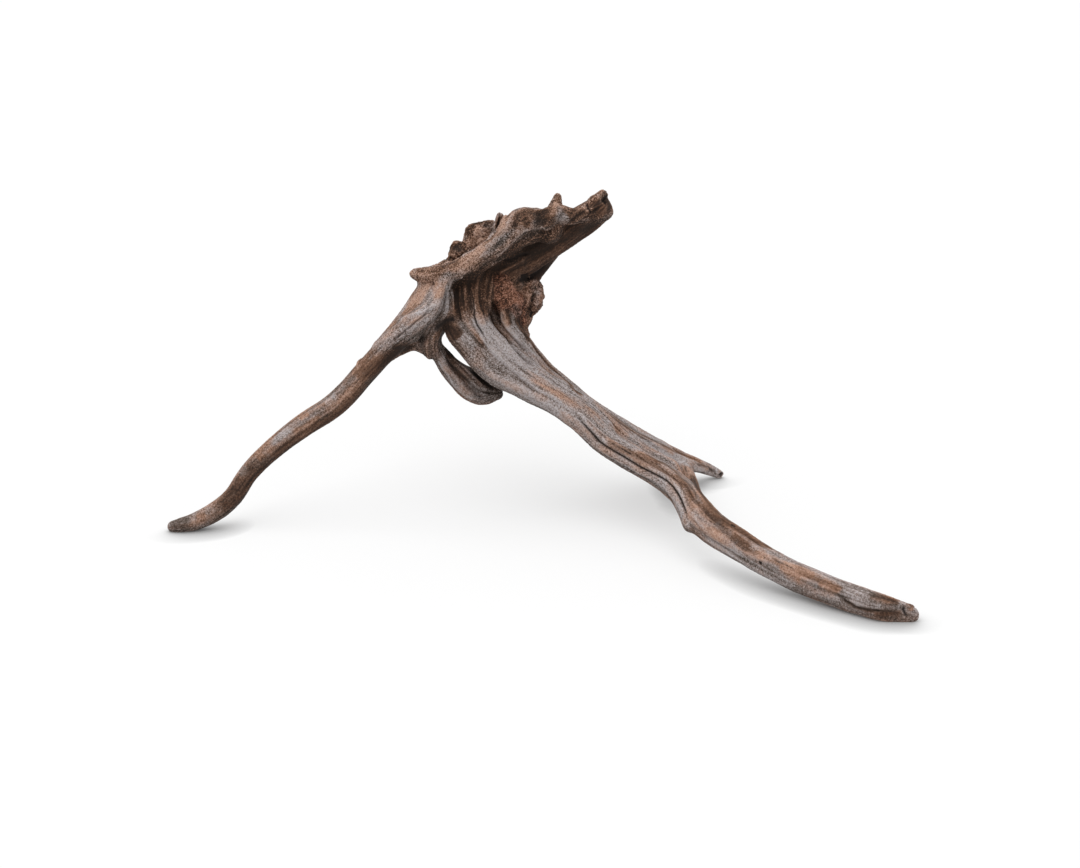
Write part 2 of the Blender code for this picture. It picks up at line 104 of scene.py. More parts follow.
crown = {
    "node": "crown",
    "inside": (-45, 42, 152),
    "strands": {
        "shoulderBack": [(-105, 22, 115, 6.7), (-92, 28, 130, 6.2), (-82, 32, 143, 6.4), (-72, 38, 156, 7)],
        "shoulderFront": [(-105, 18, 116, 6.7), (-93, 17, 126, 7.3), (-81, 16, 136, 7.6),
                          (-72, 17, 144, 6.6), (-67, 19, 153, 5.3), (-63, 22, 162, 5.3)],
        "shoulderSheet": [(-92, 27, 128, 6.2), (-81.5, 30, 142.5, 5.8), (-77, 33, 151, 5.6),
                          (-76, 35, 158.5, 5)],
        "shoulderFace": [(-88, 23, 128, 6), (-76, 25, 142, 6.4), (-70, 28, 153, 6.4)],
        "neckFill": [(-62.9, 25, 154.7, 4.6), (-63.6, 23.5, 146.2, 4.8), (-67.1, 24, 136.9, 5),
                     (-72, 26, 127.7, 5)],
        "shoulderFlap": [(-99, 24, 115, 5.3), (-89, 20, 122, 5), (-82, 18, 125, 4)],
        "shoulderUnder": [(-105, 30, 106, 5.4), (-94, 33, 112, 5.7), (-84, 33, 115, 5.4), (-76, 32, 113, 6)],
        "frontRim": [(-82.5, 35, 163, 4.2), (-74, 31, 163.5, 5.8), (-57, 23, 169, 5.9), (-47, 21, 176, 5.9),
                     (-37, 20, 182, 6.2), (-26, 20, 190, 7.2), (-17, 21, 200, 8.3), (-9, 23, 204, 7.6),
                     (0, 25, 203, 6.6), (10, 29, 206, 6.4), (21, 34, 203, 5.5), (31, 39, 203, 4.8),
                     (39, 43, 204, 3.8)],
        "backRim": [(-80, 40, 162.5, 3.6), (-77, 50, 158, 4.4), (-71, 58, 155, 5.2), (-62, 66, 158, 5.5),
                    (-53, 70, 162, 6.1), (-41, 72, 169, 6.1), (-29, 72, 173, 6.1), (-16, 68, 179, 6.1),
                    (-3, 62, 185, 6), (10, 54, 191, 6)],
        "plate": [(-75, 42, 158, 5.3), (-61, 45, 160, 7.4), (-47, 46, 163, 8.7), (-32, 46, 168, 9.3),
                  (-17, 46, 176, 10)],
        "core": [(-69, 34, 150, 9.3), (-56, 38, 149, 11.4), (-43, 40, 148, 12), (-29, 44, 150, 12),
                 (-18, 45, 155, 9)],
        "back": [(-74, 48, 147, 8), (-59, 56, 143, 9.5), (-43, 60, 141, 10.2), (-27, 58, 144, 9.5)],
        "knob": [(-56.2, 66, 165, 6), (-56.4, 68, 167, 5.2), (-57, 70, 170.4, 3.9), (-51.5, 71, 170.7, 3.3)],
        "chunk": [(-46, 73, 165, 7), (-44, 76, 174.5, 7.4), (-39, 76, 179.5, 7.2), (-31, 74, 179.5, 6)],
        "chunkTip": [(-46, 75, 178, 4.8), (-46.2, 75.3, 181, 4.1), (-41, 76, 182.6, 4), (-33, 76, 183, 4)],
        "longSplinter": [(-33, 42, 178, 4.6), (-29, 45, 188, 4.2), (-26.5, 46, 199.5, 3.2)],
        "shortSplinter": [(-23, 36, 190, 5), (-22, 38, 199, 3.2)],
        "crest": [(-19, 30, 200, 5.3), (-12, 28, 206, 4.8), (-3, 30, 206, 4)],
        "apron": [(-58, 34, 162, 7), (-42, 30, 171, 6.5), (-27, 31, 181, 7.5), (-12, 33, 191, 8.5),
                  (6, 36, 196, 7.5)],
        "basin": [(-74, 50, 152, 6), (-60, 57, 152, 8), (-44, 60, 155, 9.5), (-28, 60, 160, 9.5),
                  (-13, 57, 168, 8.5), (0, 53, 178, 7.5)],
        "hollowBack": [(-33, 48, 147, 11), (-24, 46, 136, 10), (-20, 44, 124, 10)],
        "farLeftFlute": [(-56, 38, 165, 3.6), (-59, 31, 156, 3.4), (-58, 27, 143, 3.2), (-54, 24, 130, 3.6)],
        "leftFlute": [(-48, 39, 167, 3.6), (-51, 30, 158, 3.4), (-51, 23, 144, 3.2), (-46, 17, 132, 3.2),
                      (-38, 13, 123, 3.3)],
        "middleFlute": [(-39, 40, 168, 3.8), (-43, 29, 158, 3.4), (-43, 21, 146, 3.5), (-38, 17, 135, 4)],
        "fluteBed": [(-46, 36, 160, 9), (-49, 30, 146, 9), (-46, 25, 133, 9)],
        "rightFlute": [(-32, 40, 164, 4.2), (-35, 30, 153, 4), (-36, 22, 141, 4)],
        "burl": [(-8, 50, 146, 9.6), (-8, 50, 140, 11), (-10.6, 50, 131.5, 7.3), (-11.6, 48, 124.5, 6.1),
                 (-12.2, 45, 117, 5.4)],
        "burlLobe": [(-10, 50, 147, 8.4), (-4.5, 51, 148, 6.6)],
        "burlFace": [(-27, 36, 156, 6.5), (-24, 37, 147, 8.5), (-19, 39, 139, 8.5), (-16, 42, 129, 6.5)],
    },
    "marks": [
        ("ledge", 3.4, 2.6, [(563, 219), (558, 222), (552, 227), (545, 229), (530, 230), (524, 232),
                             (518, 237), (512, 243), (507, 248), (500, 254), (494, 260), (487, 264),
                             (480, 267), (470, 270), (465, 273), (460, 279), (455, 282), (451, 287),
                             (449, 292)]),
        ("shade", 8, 0.85, [(560, 238), (545, 242), (530, 245), (515, 252), (505, 262), (490, 270),
                            (476, 279), (463, 287), (455, 295)]),
        ("shade", 5, 0.9, [(458, 286), (460, 300), (465, 312)]),
        ("shade", 5, 0.7, [(474, 284), (478, 296), (482, 306), (488, 316)]),
        ("shade", 5, 1, [(554, 262), (545, 270), (534, 277)]),
        ("shade", 4, 1, [(519, 254), (527, 252), (536, 253)]),
        ("shade", 3, 0.9, [(502, 263), (512, 262), (523, 259)]),
        ("crack", 0.9, 1.8, [(503, 261), (512, 260), (520, 256), (530, 253)]),
        ("ridge", 0.9, 1.1, [(499, 273), (509, 268), (518, 263), (526, 259.5)]),
        ("pale", 0.8, 0.7, [(506, 269.5), (514, 265), (525, 260)]),
        ("light", 4, 1, [(517, 289), (523, 291), (529, 297), (532, 304)]),
        ("crack", 2, 2.2, [(516, 281), (523, 280), (530, 278), (538, 274), (547, 266)]),
        ("crack", 1.4, 2, [(521, 277), (525, 276), (529, 275)]),
        ("groove", 1.2, 0.8, [(446, 284), (446, 300), (443, 311), (437, 320), (430, 330), (425, 341)]),
        ("light", 4, 1, [(443, 288), (443, 300), (440, 311), (434, 321), (428, 331), (421, 339)]),
        ("ridge", 1.8, 1.2, [(396, 321), (408, 317), (419, 313), (431, 308), (439, 303), (441, 294),
                             (438, 284)]),
        ("ridge", 1.6, 1, [(446, 283), (447, 295), (447, 306), (445, 318)]),
        ("groove", 1.3, 1, [(456, 284), (456, 297), (458, 310), (461, 322)]),
        ("groove", 1.1, 0.6, [(461, 283), (462, 296), (463, 306)]),
        ("groove", 1.4, 1.2, [(469, 279), (469, 292), (470, 303), (472, 313)]),
        ("ridge", 0.9, 0.8, [(452, 288), (453, 300), (455, 314)]),
        ("ridge", 0.9, 0.8, [(465, 285), (466, 296), (467, 308)]),
        ("warm", 6, 0.8, [(434, 276), (424, 290), (413, 304), (403, 316)]),
        ("pale", 4, 0.35, [(400, 331), (413, 326), (425, 320), (434, 312)]),
        ("warm", 5, 0.9, [(420, 277), (430, 281), (436, 290), (437, 300)]),
        ("pale", 2, 0.6, [(446, 288), (447, 297), (447, 306), (445, 316)]),
        ("warm", 4, 0.5, [(448, 271), (465, 262), (482, 250)]),
        ("warm", 4, 0.8, [(469, 247), (476, 234), (484, 230)]),
        ("warm", 2.5, 0.8, [(497, 236), (501, 222), (501, 216)]),
        ("groove", 2.4, 2, [(484, 224), (489, 228), (492, 233)]),
        ("dark", 3, 0.6, [(484, 223), (488, 226), (491, 230)]),
        ("shade", 2.4, 1, [(468, 225), (476, 223), (486, 221), (493, 222)]),
        ("dark", 3.4, 0.9, [(454, 245), (458, 248), (461, 252)]),
        ("pale", 3, 0.5, [(468, 232), (474, 233), (478, 238), (480, 244)]),
        ("warm", 4, 0.9, [(472, 232), (478, 238), (481, 246)]),
        ("ridge", 1.2, 1.4, [(506, 217), (503, 228), (499, 236), (493, 242), (485, 247)]),
        ("groove", 1.2, 1.6, [(500, 216), (498, 226), (493, 235), (486, 241)]),
        ("shade", 4, 1.1, [(430, 270), (438, 268), (446, 265), (454, 262), (462, 257)]),
        ("shade", 3, 0.8, [(428, 272), (438, 270), (448, 266)]),
        ("shade", 4, 0.9, [(466, 236), (466, 230), (471, 226), (477, 224)]),
        ("shade", 2.6, 0.8, [(470, 244), (472, 238), (472, 232)]),
        ("shade", 3, 0.9, [(450, 254), (451, 247), (453, 243)]),
        ("shade", 2, 1, [(501, 212), (499, 222), (496, 231), (490, 239), (482, 245)]),
        ("shade", 5.5, 1.1, [(525, 206), (528, 213), (525, 219), (521, 225)]),
        ("shade", 3, 1.3, [(502, 211), (505, 216), (511, 216)]),
        ("shade", 3.6, 0.8, [(487, 283), (488, 292), (489, 301)]),
        ("shade", 3, 0.7, [(497, 282), (502, 281), (504, 286)]),
        ("shade", 3.2, 1.3, [(516, 316), (520, 325), (526, 334), (531, 342)]),
        ("shade", 2.2, 1, [(506, 308), (508, 316), (512, 325)]),
        ("light", 3, 0.6, [(532, 225), (524, 230), (515, 237)]),
        ("light", 3, 0.7, [(470, 266), (476, 262), (482, 259)]),
        ("light", 1.6, 0.8, [(505, 224), (503, 231), (500, 236)]),
        ("warm", 8, 0.95, [(498, 286), (504, 297), (511, 306)]),
        ("warm", 6, 0.5, [(520, 290), (528, 300), (530, 312)]),
        ("groove", 1.6, 1.4, [(536, 292), (532, 300), (530, 312)]),
        ("ridge", 2, 1.2, [(540, 286), (537, 296), (536, 306)]),
        ("groove", 1.3, 1, [(524, 296), (525, 303), (523, 310)]),
        ("crack", 1.4, 2, [(531, 318), (534, 311)]),
        ("ridge", 2.4, 1.3, [(512, 213), (509, 222), (503, 233), (497, 243)]),
        ("groove", 2.2, 1.5, [(518, 210), (516, 219), (513, 229)]),
        ("ridge", 2.2, 1.5, [(526, 208), (529, 215), (531, 223), (530, 229)]),
        ("groove", 3, 1.8, [(539, 210), (540, 218), (541, 227)]),
        ("warm", 3, 0.5, [(529, 214), (531, 223), (530, 229)]),
        ("grey", 3.4, 0.7, [(478, 262), (490, 254), (500, 243), (508, 230)]),
        ("light", 4.5, 1, [(448, 275), (458, 270), (468, 262), (480, 253), (492, 246)]),
        ("light", 2, 1, [(446, 290), (447, 300), (446, 312)]),
        ("light", 1, 0.9, [(443, 297), (437, 305), (425, 311.5), (412, 317), (398, 322)]),
        ("shade", 1.2, 0.3, [(432, 313.5), (418, 320), (402, 326)]),
        ("light", 3.6, 0.7, [(420, 340), (420, 348), (424, 354)]),
        ("light", 5, 1, [(417, 281), (424, 282), (431, 287), (437, 296)]),
        ("shade", 3, 0.7, [(416, 270), (424, 270.5), (432, 271)]),
        ("light", 3.4, 1.2, [(449, 284), (454, 279), (460, 274)]),
        ("shade", 5.5, 1.3, [(440, 329), (447, 328), (454, 331), (460, 338)]),
        ("dark", 4, 0.6, [(445, 326), (453, 329), (461, 336)]),
        ("shade", 3, 0.5, [(447, 333), (453, 341), (460, 349), (467, 359)]),
        ("dark", 1.6, 0.9, [(503, 261), (512, 260), (520, 256), (530, 253)]),
        ("light", 0.9, 1, [(499, 273), (509, 268), (518, 263), (526, 259.5)]),
        ("dark", 2.6, 0.8, [(517, 279.5), (525, 279.5), (534, 276.5), (541, 271), (548, 264)]),
        ("light", 5, 0.9, [(474, 233), (478, 240), (482, 246)]),
        ("light", 6, 0.7, [(432, 282), (425, 292), (415, 302)]),
        ("light", 4, 0.6, [(430, 310), (418, 320), (405, 330)]),
        ("shade", 3, 0.6, [(537, 210), (538, 218), (540, 227)]),
        ("shade", 3, 0.6, [(519, 209), (517, 219), (514, 230)]),
        ("shade", 6, 1.1, [(538, 209), (545, 212), (548, 219), (545, 227)]),
        ("light", 1.6, 0.5, [(562, 220.5), (556, 224), (549, 227.6), (542, 229.8), (530, 230.5),
                             (524, 232.5), (518, 238), (512, 243), (500, 251.5), (491, 258.5), (484, 263.5)]),
    ],
}

hangingRoot = {
    "node": "hanging_root",
    "inside": (-58, 33, 94),
    "seam": {"at": (-66, 32, 106), "square": (0.3, 0.05, -0.95), "reach": 15},
    "strands": {
        "neck": [(-62, 26, 140, 4.8), (-68.5, 27, 131, 5), (-73.5, 28, 120, 5.8), (-73, 30, 110, 5.8)],
        "strap": [(-66, 36, 129, 6), (-71, 35, 115, 4.6), (-64, 33, 101, 6.6), (-54, 34, 89, 8.3),
                  (-45.5, 35, 80, 7.9), (-37, 37, 76, 6.7), (-29, 38, 76.5, 4.4)],
        "innerLip": [(-67.5, 38, 108.5, 3.8), (-58, 41, 97.6, 3.6), (-50, 42, 91.6, 3.2),
                     (-41, 42, 88.6, 3.6), (-33, 41, 81, 3.6)],
    },
    "marks": [
        ("groove", 2.4, 2, [(446, 357), (455, 370), (462, 378), (468, 386), (475, 392), (485, 398)]),
        ("light", 4, 0.8, [(458, 378), (466, 387), (476, 395), (486, 399)]),
        ("dark", 2, 1, [(470, 369), (477, 376), (486, 384), (495, 391)]),
        ("dark", 3, 1, [(436, 332), (438, 326), (444, 321), (451, 319), (458, 320)]),
        ("dark", 4.5, 1, [(444, 347), (450, 353), (458, 357.5), (467, 363)]),
        ("shade", 4, 1.2, [(446, 352), (455, 357), (466, 363)]),
        ("light", 3, 0.7, [(433, 338), (434, 350), (438, 362), (446, 374)]),
        ("shade", 2.6, 0.7, [(447, 356), (454, 365), (462, 375), (471, 383)]),
        ("light", 4, 0.9, [(436, 366), (443, 377), (455, 384), (466, 393), (478, 400)]),
        ("light", 3, 0.9, [(458, 367), (466, 378), (476, 388), (488, 396)]),
        ("ridge", 1.3, 1, [(438, 361), (447, 374), (455, 386), (464, 394), (475, 400)]),
        ("ridge", 1, 0.8, [(455, 364), (461, 366), (466, 370), (471, 376), (477, 382), (484, 388),
                           (490, 391)]),
    ],
}

upperArm = {
    "node": "upper_arm",
    "inside": (25, 44, 196),
    "seam": {"at": (5, 44, 186), "square": (0.9, 0.05, 0.43), "reach": 37},
    "strands": {
        "arm": [(-47, 42, 156, 9), (-29, 47, 161, 11.5), (-12, 51, 169, 13.2), (0, 52, 176, 12.6),
                (11, 51, 183.2, 11.7), (21, 50, 190.3, 11.1), (31, 48, 197.6, 10.2), (38.8, 47, 204, 9.2)],
        "horn": [(5.5, 36, 193, 9.6), (9, 39, 203.5, 7), (10.6, 40, 209.6, 4.5), (11.6, 40, 214.6, 2.8)],
        "saddle": [(14, 40, 200.5, 4.6), (21, 42, 201, 4), (28, 44, 203.5, 4.2)],
        "stubTip": [(33, 46, 203.8, 6.4), (37.5, 46, 209.5, 5.2), (41.6, 46, 214.2, 3.8)],
        "stubSide": [(37.5, 45, 200.8, 7.4), (43.4, 45, 202, 5.2)],
        "underside": [(13, 52, 180.5, 6.2), (3.4, 53, 168, 6.6), (-3.4, 53, 159, 6.4)],
    },
    "marks": [
        ("ridge", 3, 1.3, [(558, 197), (556, 206), (552, 216), (547, 226)]),
        ("groove", 1.8, 1.2, [(566, 209), (562, 216), (556, 223)]),
        ("ridge", 1, 0.7, [(599, 193), (590, 201), (580, 209), (570, 217)]),
        ("groove", 1.2, 1, [(592, 204), (584, 211), (574, 219), (566, 226)]),
        ("groove", 1, 0.9, [(600, 206), (588, 216), (574, 226)]),
        ("crack", 0.8, 1.2, [(586, 203), (589, 209), (592, 213)]),
        ("shade", 6, 0.25, [(556, 245), (575, 233), (590, 224), (603, 215)]),
        ("shade", 6, 1.1, [(569, 217), (572, 213), (578, 212), (586, 209)]),
        ("shade", 4, 0.8, [(570, 221), (580, 216)]),
        ("shade", 3.6, 1.2, [(588, 216), (593, 213), (595, 206), (600, 200)]),
        ("light", 4.8, 1.5, [(558, 211), (562, 214), (560, 220), (555, 222)]),
        ("shade", 1.8, 0.7, [(557, 198), (558, 203), (560, 207)]),
        ("warm", 3.5, 0.7, [(546, 220), (552, 210), (558, 203)]),
        ("warm", 3, 0.6, [(578, 214), (590, 206), (599, 196)]),
        ("light", 3, 0.5, [(592, 201), (600, 197), (604, 203)]),
        ("dark", 2.6, 0.9, [(605, 195), (609, 204), (609, 213)]),
        ("crack", 1.5, 1.6, [(603, 199), (607, 204)]),
    ],
}

trunk = {
    "node": "trunk",
    "inside": (11, 28, 80),
    "seam": {"at": (-29, 34, 117), "square": (0.15, 0, -0.99), "reach": 33},
    "strands": {
        "topRidge": [(-23, 38, 146, 4), (-23, 33, 137, 4), (-19, 32, 126, 4.7), (-13.6, 34, 117.6, 5.9),
                     (2.4, 39, 93.4, 6.2), (8.5, 41, 86.2, 6.6), (15.2, 43, 79.4, 7), (26, 45.5, 69.2, 6.7),
                     (37.6, 48, 59.4, 6.4), (66, 57, 36.4, 6.4), (95, 64, 18, 6.4)],
        "band": [(66, 46, 38.6, 6), (79.2, 47, 30.2, 6), (89.7, 47, 24.8, 5.8), (98.8, 48, 20.6, 5.2),
                 (106.7, 53, 16.3, 4.4), (114.1, 60, 11.7, 3.6)],
        "middleRidge": [(-40, 20, 134, 6), (-32, 18, 124, 6.3), (-21, 17, 113, 6.6), (-8, 18, 101, 6.6),
                        (7, 20, 89, 6.6), (26, 24, 76, 6.6), (45, 28, 61, 6.3), (64, 34, 45, 6.1),
                        (82, 42, 32, 6.2), (97, 50, 20, 5.5)],
        "frontRidge": [(-57, 27, 134, 6), (-56, 24, 128, 7.9), (-46, 20, 116, 8.5), (-33, 16, 102, 8.5),
                       (-15, 14, 92, 8.6), (11, 10, 80, 8.6), (25, 6, 71.6, 8.8), (42, -2, 57.7, 8.4),
                       (57, -9, 50.7, 8.4), (70, -18, 46, 8), (83.5, -31, 42.6, 7), (90.5, -41, 39.6, 6.8),
                       (95.5, -54, 32.5, 6.6), (97.5, -64, 24.4, 5.2)],
        "frontFill": [(-48, 22, 131, 7), (-38, 19, 120, 7.8), (-27, 16.5, 107.5, 8.4), (-11.5, 16, 96.5, 8.4),
                      (9, 15, 84.5, 8), (25.5, 15, 74, 7.8), (43, 13, 60, 7.4)],
        "topFill": [(10, 31, 85, 7), (26, 35, 71.5, 7), (46, 39, 56.5, 6.8), (66, 46, 41.5, 6.6),
                    (84, 53, 28, 6.4)],
        "heart": [(-47, 36, 137, 12), (-38, 34, 121, 14), (-26, 33, 108, 13.2), (-12, 31, 96, 12),
                  (3, 28, 84, 10), (20, 26, 73, 9.4), (37, 25, 60, 8.8), (54, 24, 47, 8.1),
                  (71, 22, 36, 8), (87, 14, 30, 8)],
        "back": [(-27, 52, 117, 11.5), (-14, 50, 98, 10.6), (3, 47, 81, 8.8), (24, 46, 67, 8),
                 (48, 46, 50, 7.4), (72, 48, 33, 7), (92, 50, 21, 6)],
        "webEdge": [(98.5, 56, 16, 5.4), (100.2, 30, 20, 5.5), (100.2, 5, 25, 6), (99.8, -20, 30, 6.8),
                    (99, -42, 33.4, 8)],
    },
    # The trunk flattens into a web between its front and back edges, which spread towards the fork.
    "webFront": [(18, 9, 74, 7), (34, 4, 63, 7), (48, -2, 54, 7), (62, -10, 48, 7.4), (76, -22, 42, 7.4),
                 (86, -33, 38, 7.4), (93, -44, 34, 7)],
    "webBack": [(14, 42, 74, 7), (30, 45, 61, 7), (46, 49, 48, 6.6), (60, 52, 38, 6.6), (74, 56, 28, 6.4),
                (86, 60, 20, 6.2), (96, 60, 15, 5.6)],
    "webStrands": 9,
    "webSag": 3,
    "marks": [
        ("ledge", 4.5, 1.1, [(574, 413), (563.6, 405), (553, 397.5), (537.6, 390), (526, 380.6),
                             (519.4, 375.5), (509, 366.5), (500, 358), (493.4, 353), (485.6, 343),
                             (476.5, 327), (470, 314)]),
        ("ridge", 1.1, 0.8, [(470, 314), (476.5, 327), (485.6, 343), (493.4, 353), (500, 358), (509, 366.5),
                             (519.4, 375.5), (526, 380.6), (537.6, 390), (553, 397.5), (563.6, 405),
                             (574, 413)]),
        ("light", 1, 1.6, [(473, 320), (476.5, 327), (485.6, 343), (493.4, 353), (500, 358), (509, 366.5),
                           (519.4, 375.5), (526, 380.6), (537.6, 390), (553, 397.5), (563.6, 405),
                           (574, 413)]),
        ("shade", 1.4, 0.3, [(472, 326), (480, 342), (490, 355), (498, 361.5), (507, 370), (517, 379),
                             (530, 388), (548, 398.5)]),
        ("grey", 8, 0.7, [(456, 325), (463, 342), (475, 361), (488, 372)]),
        ("shade", 2.4, 0.4, [(472, 338), (480, 350), (488, 362)]),
        ("light", 4, 0.8, [(489, 342), (497, 351), (508, 361)]),
        ("light", 4, 0.7, [(507, 350), (513, 358), (521, 367)]),
        ("light", 4, 0.6, [(611, 419), (621, 426), (632, 433)]),
        ("light", 5, 1, [(468, 316), (472, 325), (479, 335), (490, 346)]),
        ("light", 4, 1, [(505, 370), (514, 377), (524, 384), (534, 391)]),
        ("light", 5, 0.9, [(479, 312), (483, 320), (489, 328)]),
        ("light", 5.5, 1.2, [(481, 374), (495, 383), (510, 390), (527, 398), (545, 407), (562, 418),
                             (580, 430)]),
        ("grey", 8, 0.9, [(474, 354), (488, 369), (503, 382), (520, 393), (540, 403), (560, 413)]),
        ("light", 4, 0.7, [(562, 418), (576, 427), (590, 438)]),
        ("shade", 1.6, 1, [(527, 334), (538, 352), (549, 365), (560, 375), (570, 384)]),
        ("shade", 2.6, 1.2, [(558, 374), (566, 381), (574, 389), (584, 396.5)]),
        ("shade", 1.6, 0.6, [(590, 400), (600, 406.5), (620, 420), (640, 432.5)]),
        ("shade", 3.2, 1, [(600, 406), (620, 420), (640, 433), (660, 444), (680, 453.6), (690, 458),
                           (700, 462.5), (716, 470.5)]),
        ("shade", 2.4, 0.8, [(621, 424), (634, 431), (648, 438)]),
        ("shade", 2.6, 0.6, [(663, 449), (675, 455), (686, 459)]),
        ("crack", 0.75, 1.6, [(574, 415), (580, 420), (590, 431), (600, 442), (610, 449), (620, 455),
                              (630, 461), (640, 467), (650, 472), (660, 477), (667, 481), (673, 487),
                              (678, 494), (682, 502), (686, 512), (688, 520)]),
        ("crack", 0.7, 1, [(471, 290), (473, 300), (474, 316), (477, 325), (485, 337)]),
        ("groove", 2.2, 2.2, [(488, 300), (490.8, 313), (496, 324.7), (503.8, 335), (513, 345.5),
                              (522, 354.6), (529.8, 362.4), (535, 366.3)]),
        ("shade", 1.3, 0.8, [(488, 302), (490.8, 313), (496, 324.7), (503.8, 335), (512, 344.5)]),
        ("ridge", 1.5, 1.6, [(503, 306), (503.8, 319.5), (507.7, 328.6), (515.5, 337.7), (524.6, 345.5),
                             (535, 356), (543, 362.4)]),
        ("pale", 1.3, 1, [(503, 308), (503.8, 319.5), (507.7, 328.6), (515.5, 337.7), (524, 345)]),
        ("light", 3.4, 1.2, [(501, 312), (506, 326), (514, 338), (524, 349), (536, 360), (548, 370)]),
        ("light", 2.4, 0.8, [(507, 341), (515, 352), (524, 361), (533, 367)]),
        ("light", 2.6, 0.7, [(490, 315), (494, 323), (500, 331)]),
        ("ridge", 2.2, 0.6, [(590, 441), (610, 458), (630, 468), (650, 479), (668, 491), (678, 503),
                             (686, 520), (689, 527)]),
        ("ridge", 1.4, 1.2, [(686, 524), (688.5, 526.5), (690, 524)]),
        ("ridge", 1.3, 0.9, [(600, 439), (630, 456), (660, 472), (672, 479), (681, 493), (688, 508)]),
        ("groove", 3, 2.2, [(606, 442), (630, 453), (650, 462), (665, 470), (678, 479), (686, 488)]),
        ("warm", 3.2, 1, [(606, 442), (630, 453), (650, 462), (665, 470), (678, 479), (686, 488)]),
        ("shade", 4, 0.85, [(636, 451), (650, 457), (664, 464), (675, 471.5), (684, 480), (691, 493),
                            (698, 508)]),
        ("shade", 2.6, 1.2, [(691.5, 474), (694.5, 480), (698, 488), (703, 498)]),
        ("warm", 4.5, 0.7, [(524, 366), (532, 378), (545, 386), (560, 393), (575, 401), (590, 410),
                            (604, 417)]),
        ("warm", 3.5, 0.6, [(608, 424), (618, 432), (630, 438)]),
        ("warm", 3, 0.4, [(650, 448), (665, 455)]),
        ("light", 2.4, 0.9, [(612, 462), (630, 472), (650, 483), (666, 494), (677, 508)]),
        ("pale", 5, 0.5, [(479, 314), (484, 327), (496, 342), (510, 356), (525, 370)]),
        ("pale", 4, 0.3, [(500, 378), (530, 397), (560, 413)]),
        ("pale", 3.6, 0.9, [(620, 430), (645, 443), (670, 455), (692, 467)]),
        ("light", 3.2, 1, [(668, 457), (680, 462), (690, 467)]),
        ("grey", 4, 1, [(672, 457), (682, 462), (691, 467)]),
    ],
}

rightLeg = {
    "node": "right_leg",
    "inside": (143, -100, 16),
    "seam": {"at": (97, -46, 34), "square": (0.35, -0.93, -0.1), "reach": 23},
    "strands": {
        "stoutLeg": [(67, 8, 39, 6.7), (82, -6, 36, 8), (94.5, -34, 34, 9.2), (102.3, -57, 30, 10.4),
                     (111, -72.4, 26.4, 10.2), (125.6, -87, 21.6, 9.8), (143, -102.5, 16.2, 9.4),
                     (161, -116, 12, 9.3), (179, -129.6, 9.8, 8.9), (194, -139.9, 8.2, 8.6),
                     (209, -150, 7.3, 8), (220, -154.6, 6.3, 7), (227, -156.5, 5.2, 6),
                     (230.4, -156.5, 4.4, 4.8)],
        "toe": [(221, -148, 6.2, 4.6), (229.5, -151.5, 5.8, 4)],
    },
    "marks": [
        ("ledge", 4, 1.2, [(905, 612), (870, 603), (840, 594), (800, 583), (770, 569), (740, 553), (715, 538),
                           (700, 524), (690, 510)]),
        ("pale", 4.5, 0.8, [(696, 531), (715, 547), (740, 563), (770, 579), (800, 591)]),
        ("shade", 3, 1, [(693.5, 478), (700, 491), (705, 500), (711, 508), (718, 516), (730, 525),
                         (745, 534), (760, 541.5)]),
        ("shade", 3, 1, [(745, 536), (760, 543), (780, 552.5), (800, 561), (820, 568.5), (840, 577),
                         (860, 584.5), (885, 593), (905, 600)]),
        ("shade", 3.2, 0.4, [(700, 508), (706, 518), (714, 528), (722, 536)]),
        ("light", 4.5, 1.1, [(706, 533), (715, 544), (727, 552), (742, 559)]),
        ("shade", 3, 1, [(716, 514), (728, 522), (742, 531), (755, 539)]),
        ("shade", 3, 0.7, [(732, 533), (742, 540), (752, 546)]),
        ("shade", 3, 0.7, [(790, 567), (802, 572), (818, 581), (832, 588), (846, 590)]),
        ("shade", 4, 0.9, [(868, 595), (882, 598), (900, 603)]),
        ("shade", 2.6, 1.2, [(880, 592.5), (895, 597.5), (907, 602), (914, 608)]),
        ("shade", 2.4, 0.7, [(872, 614), (888, 615), (904, 616)]),
        ("grey", 7, 1, [(835, 586), (855, 594), (880, 602), (905, 608)]),
        ("light", 3, 0.6, [(849, 600), (858, 604), (868, 607)]),
        ("groove", 2.6, 1.4, [(697, 499), (712, 518), (730, 536), (745, 548), (760, 556)]),
        ("warm", 3, 0.8, [(697, 500), (706, 511), (716, 522)]),
        ("warm", 3, 0.7, [(736, 543), (750, 551), (765, 557)]),
        ("warm", 3.4, 1, [(780, 566), (792, 572), (802, 579)]),
        ("shade", 4.5, 0.4, [(760, 556), (780, 566), (802, 579), (830, 588)]),
        ("warm", 3.2, 1, [(820, 582), (831, 588), (842, 592)]),
        ("ridge", 1.2, 0.6, [(688, 508), (700, 525), (715, 540), (740, 556), (770, 573), (800, 587)]),
        ("shade", 1.4, 0.6, [(836, 594), (846, 602), (856, 608), (870, 611), (900, 613)]),
        ("groove", 1.3, 1.2, [(836, 594), (846, 602), (856, 608), (870, 611), (900, 613)]),
        ("crack", 1, 1.2, [(758, 562), (762, 564)]),
        ("crack", 0.8, 1, [(731, 524), (736, 527)]),
        ("crack", 1, 1.6, [(905, 604), (904, 610), (906, 617), (909, 620)]),
        ("warm", 2.4, 0.8, [(910, 608), (914, 612)]),
    ],
}

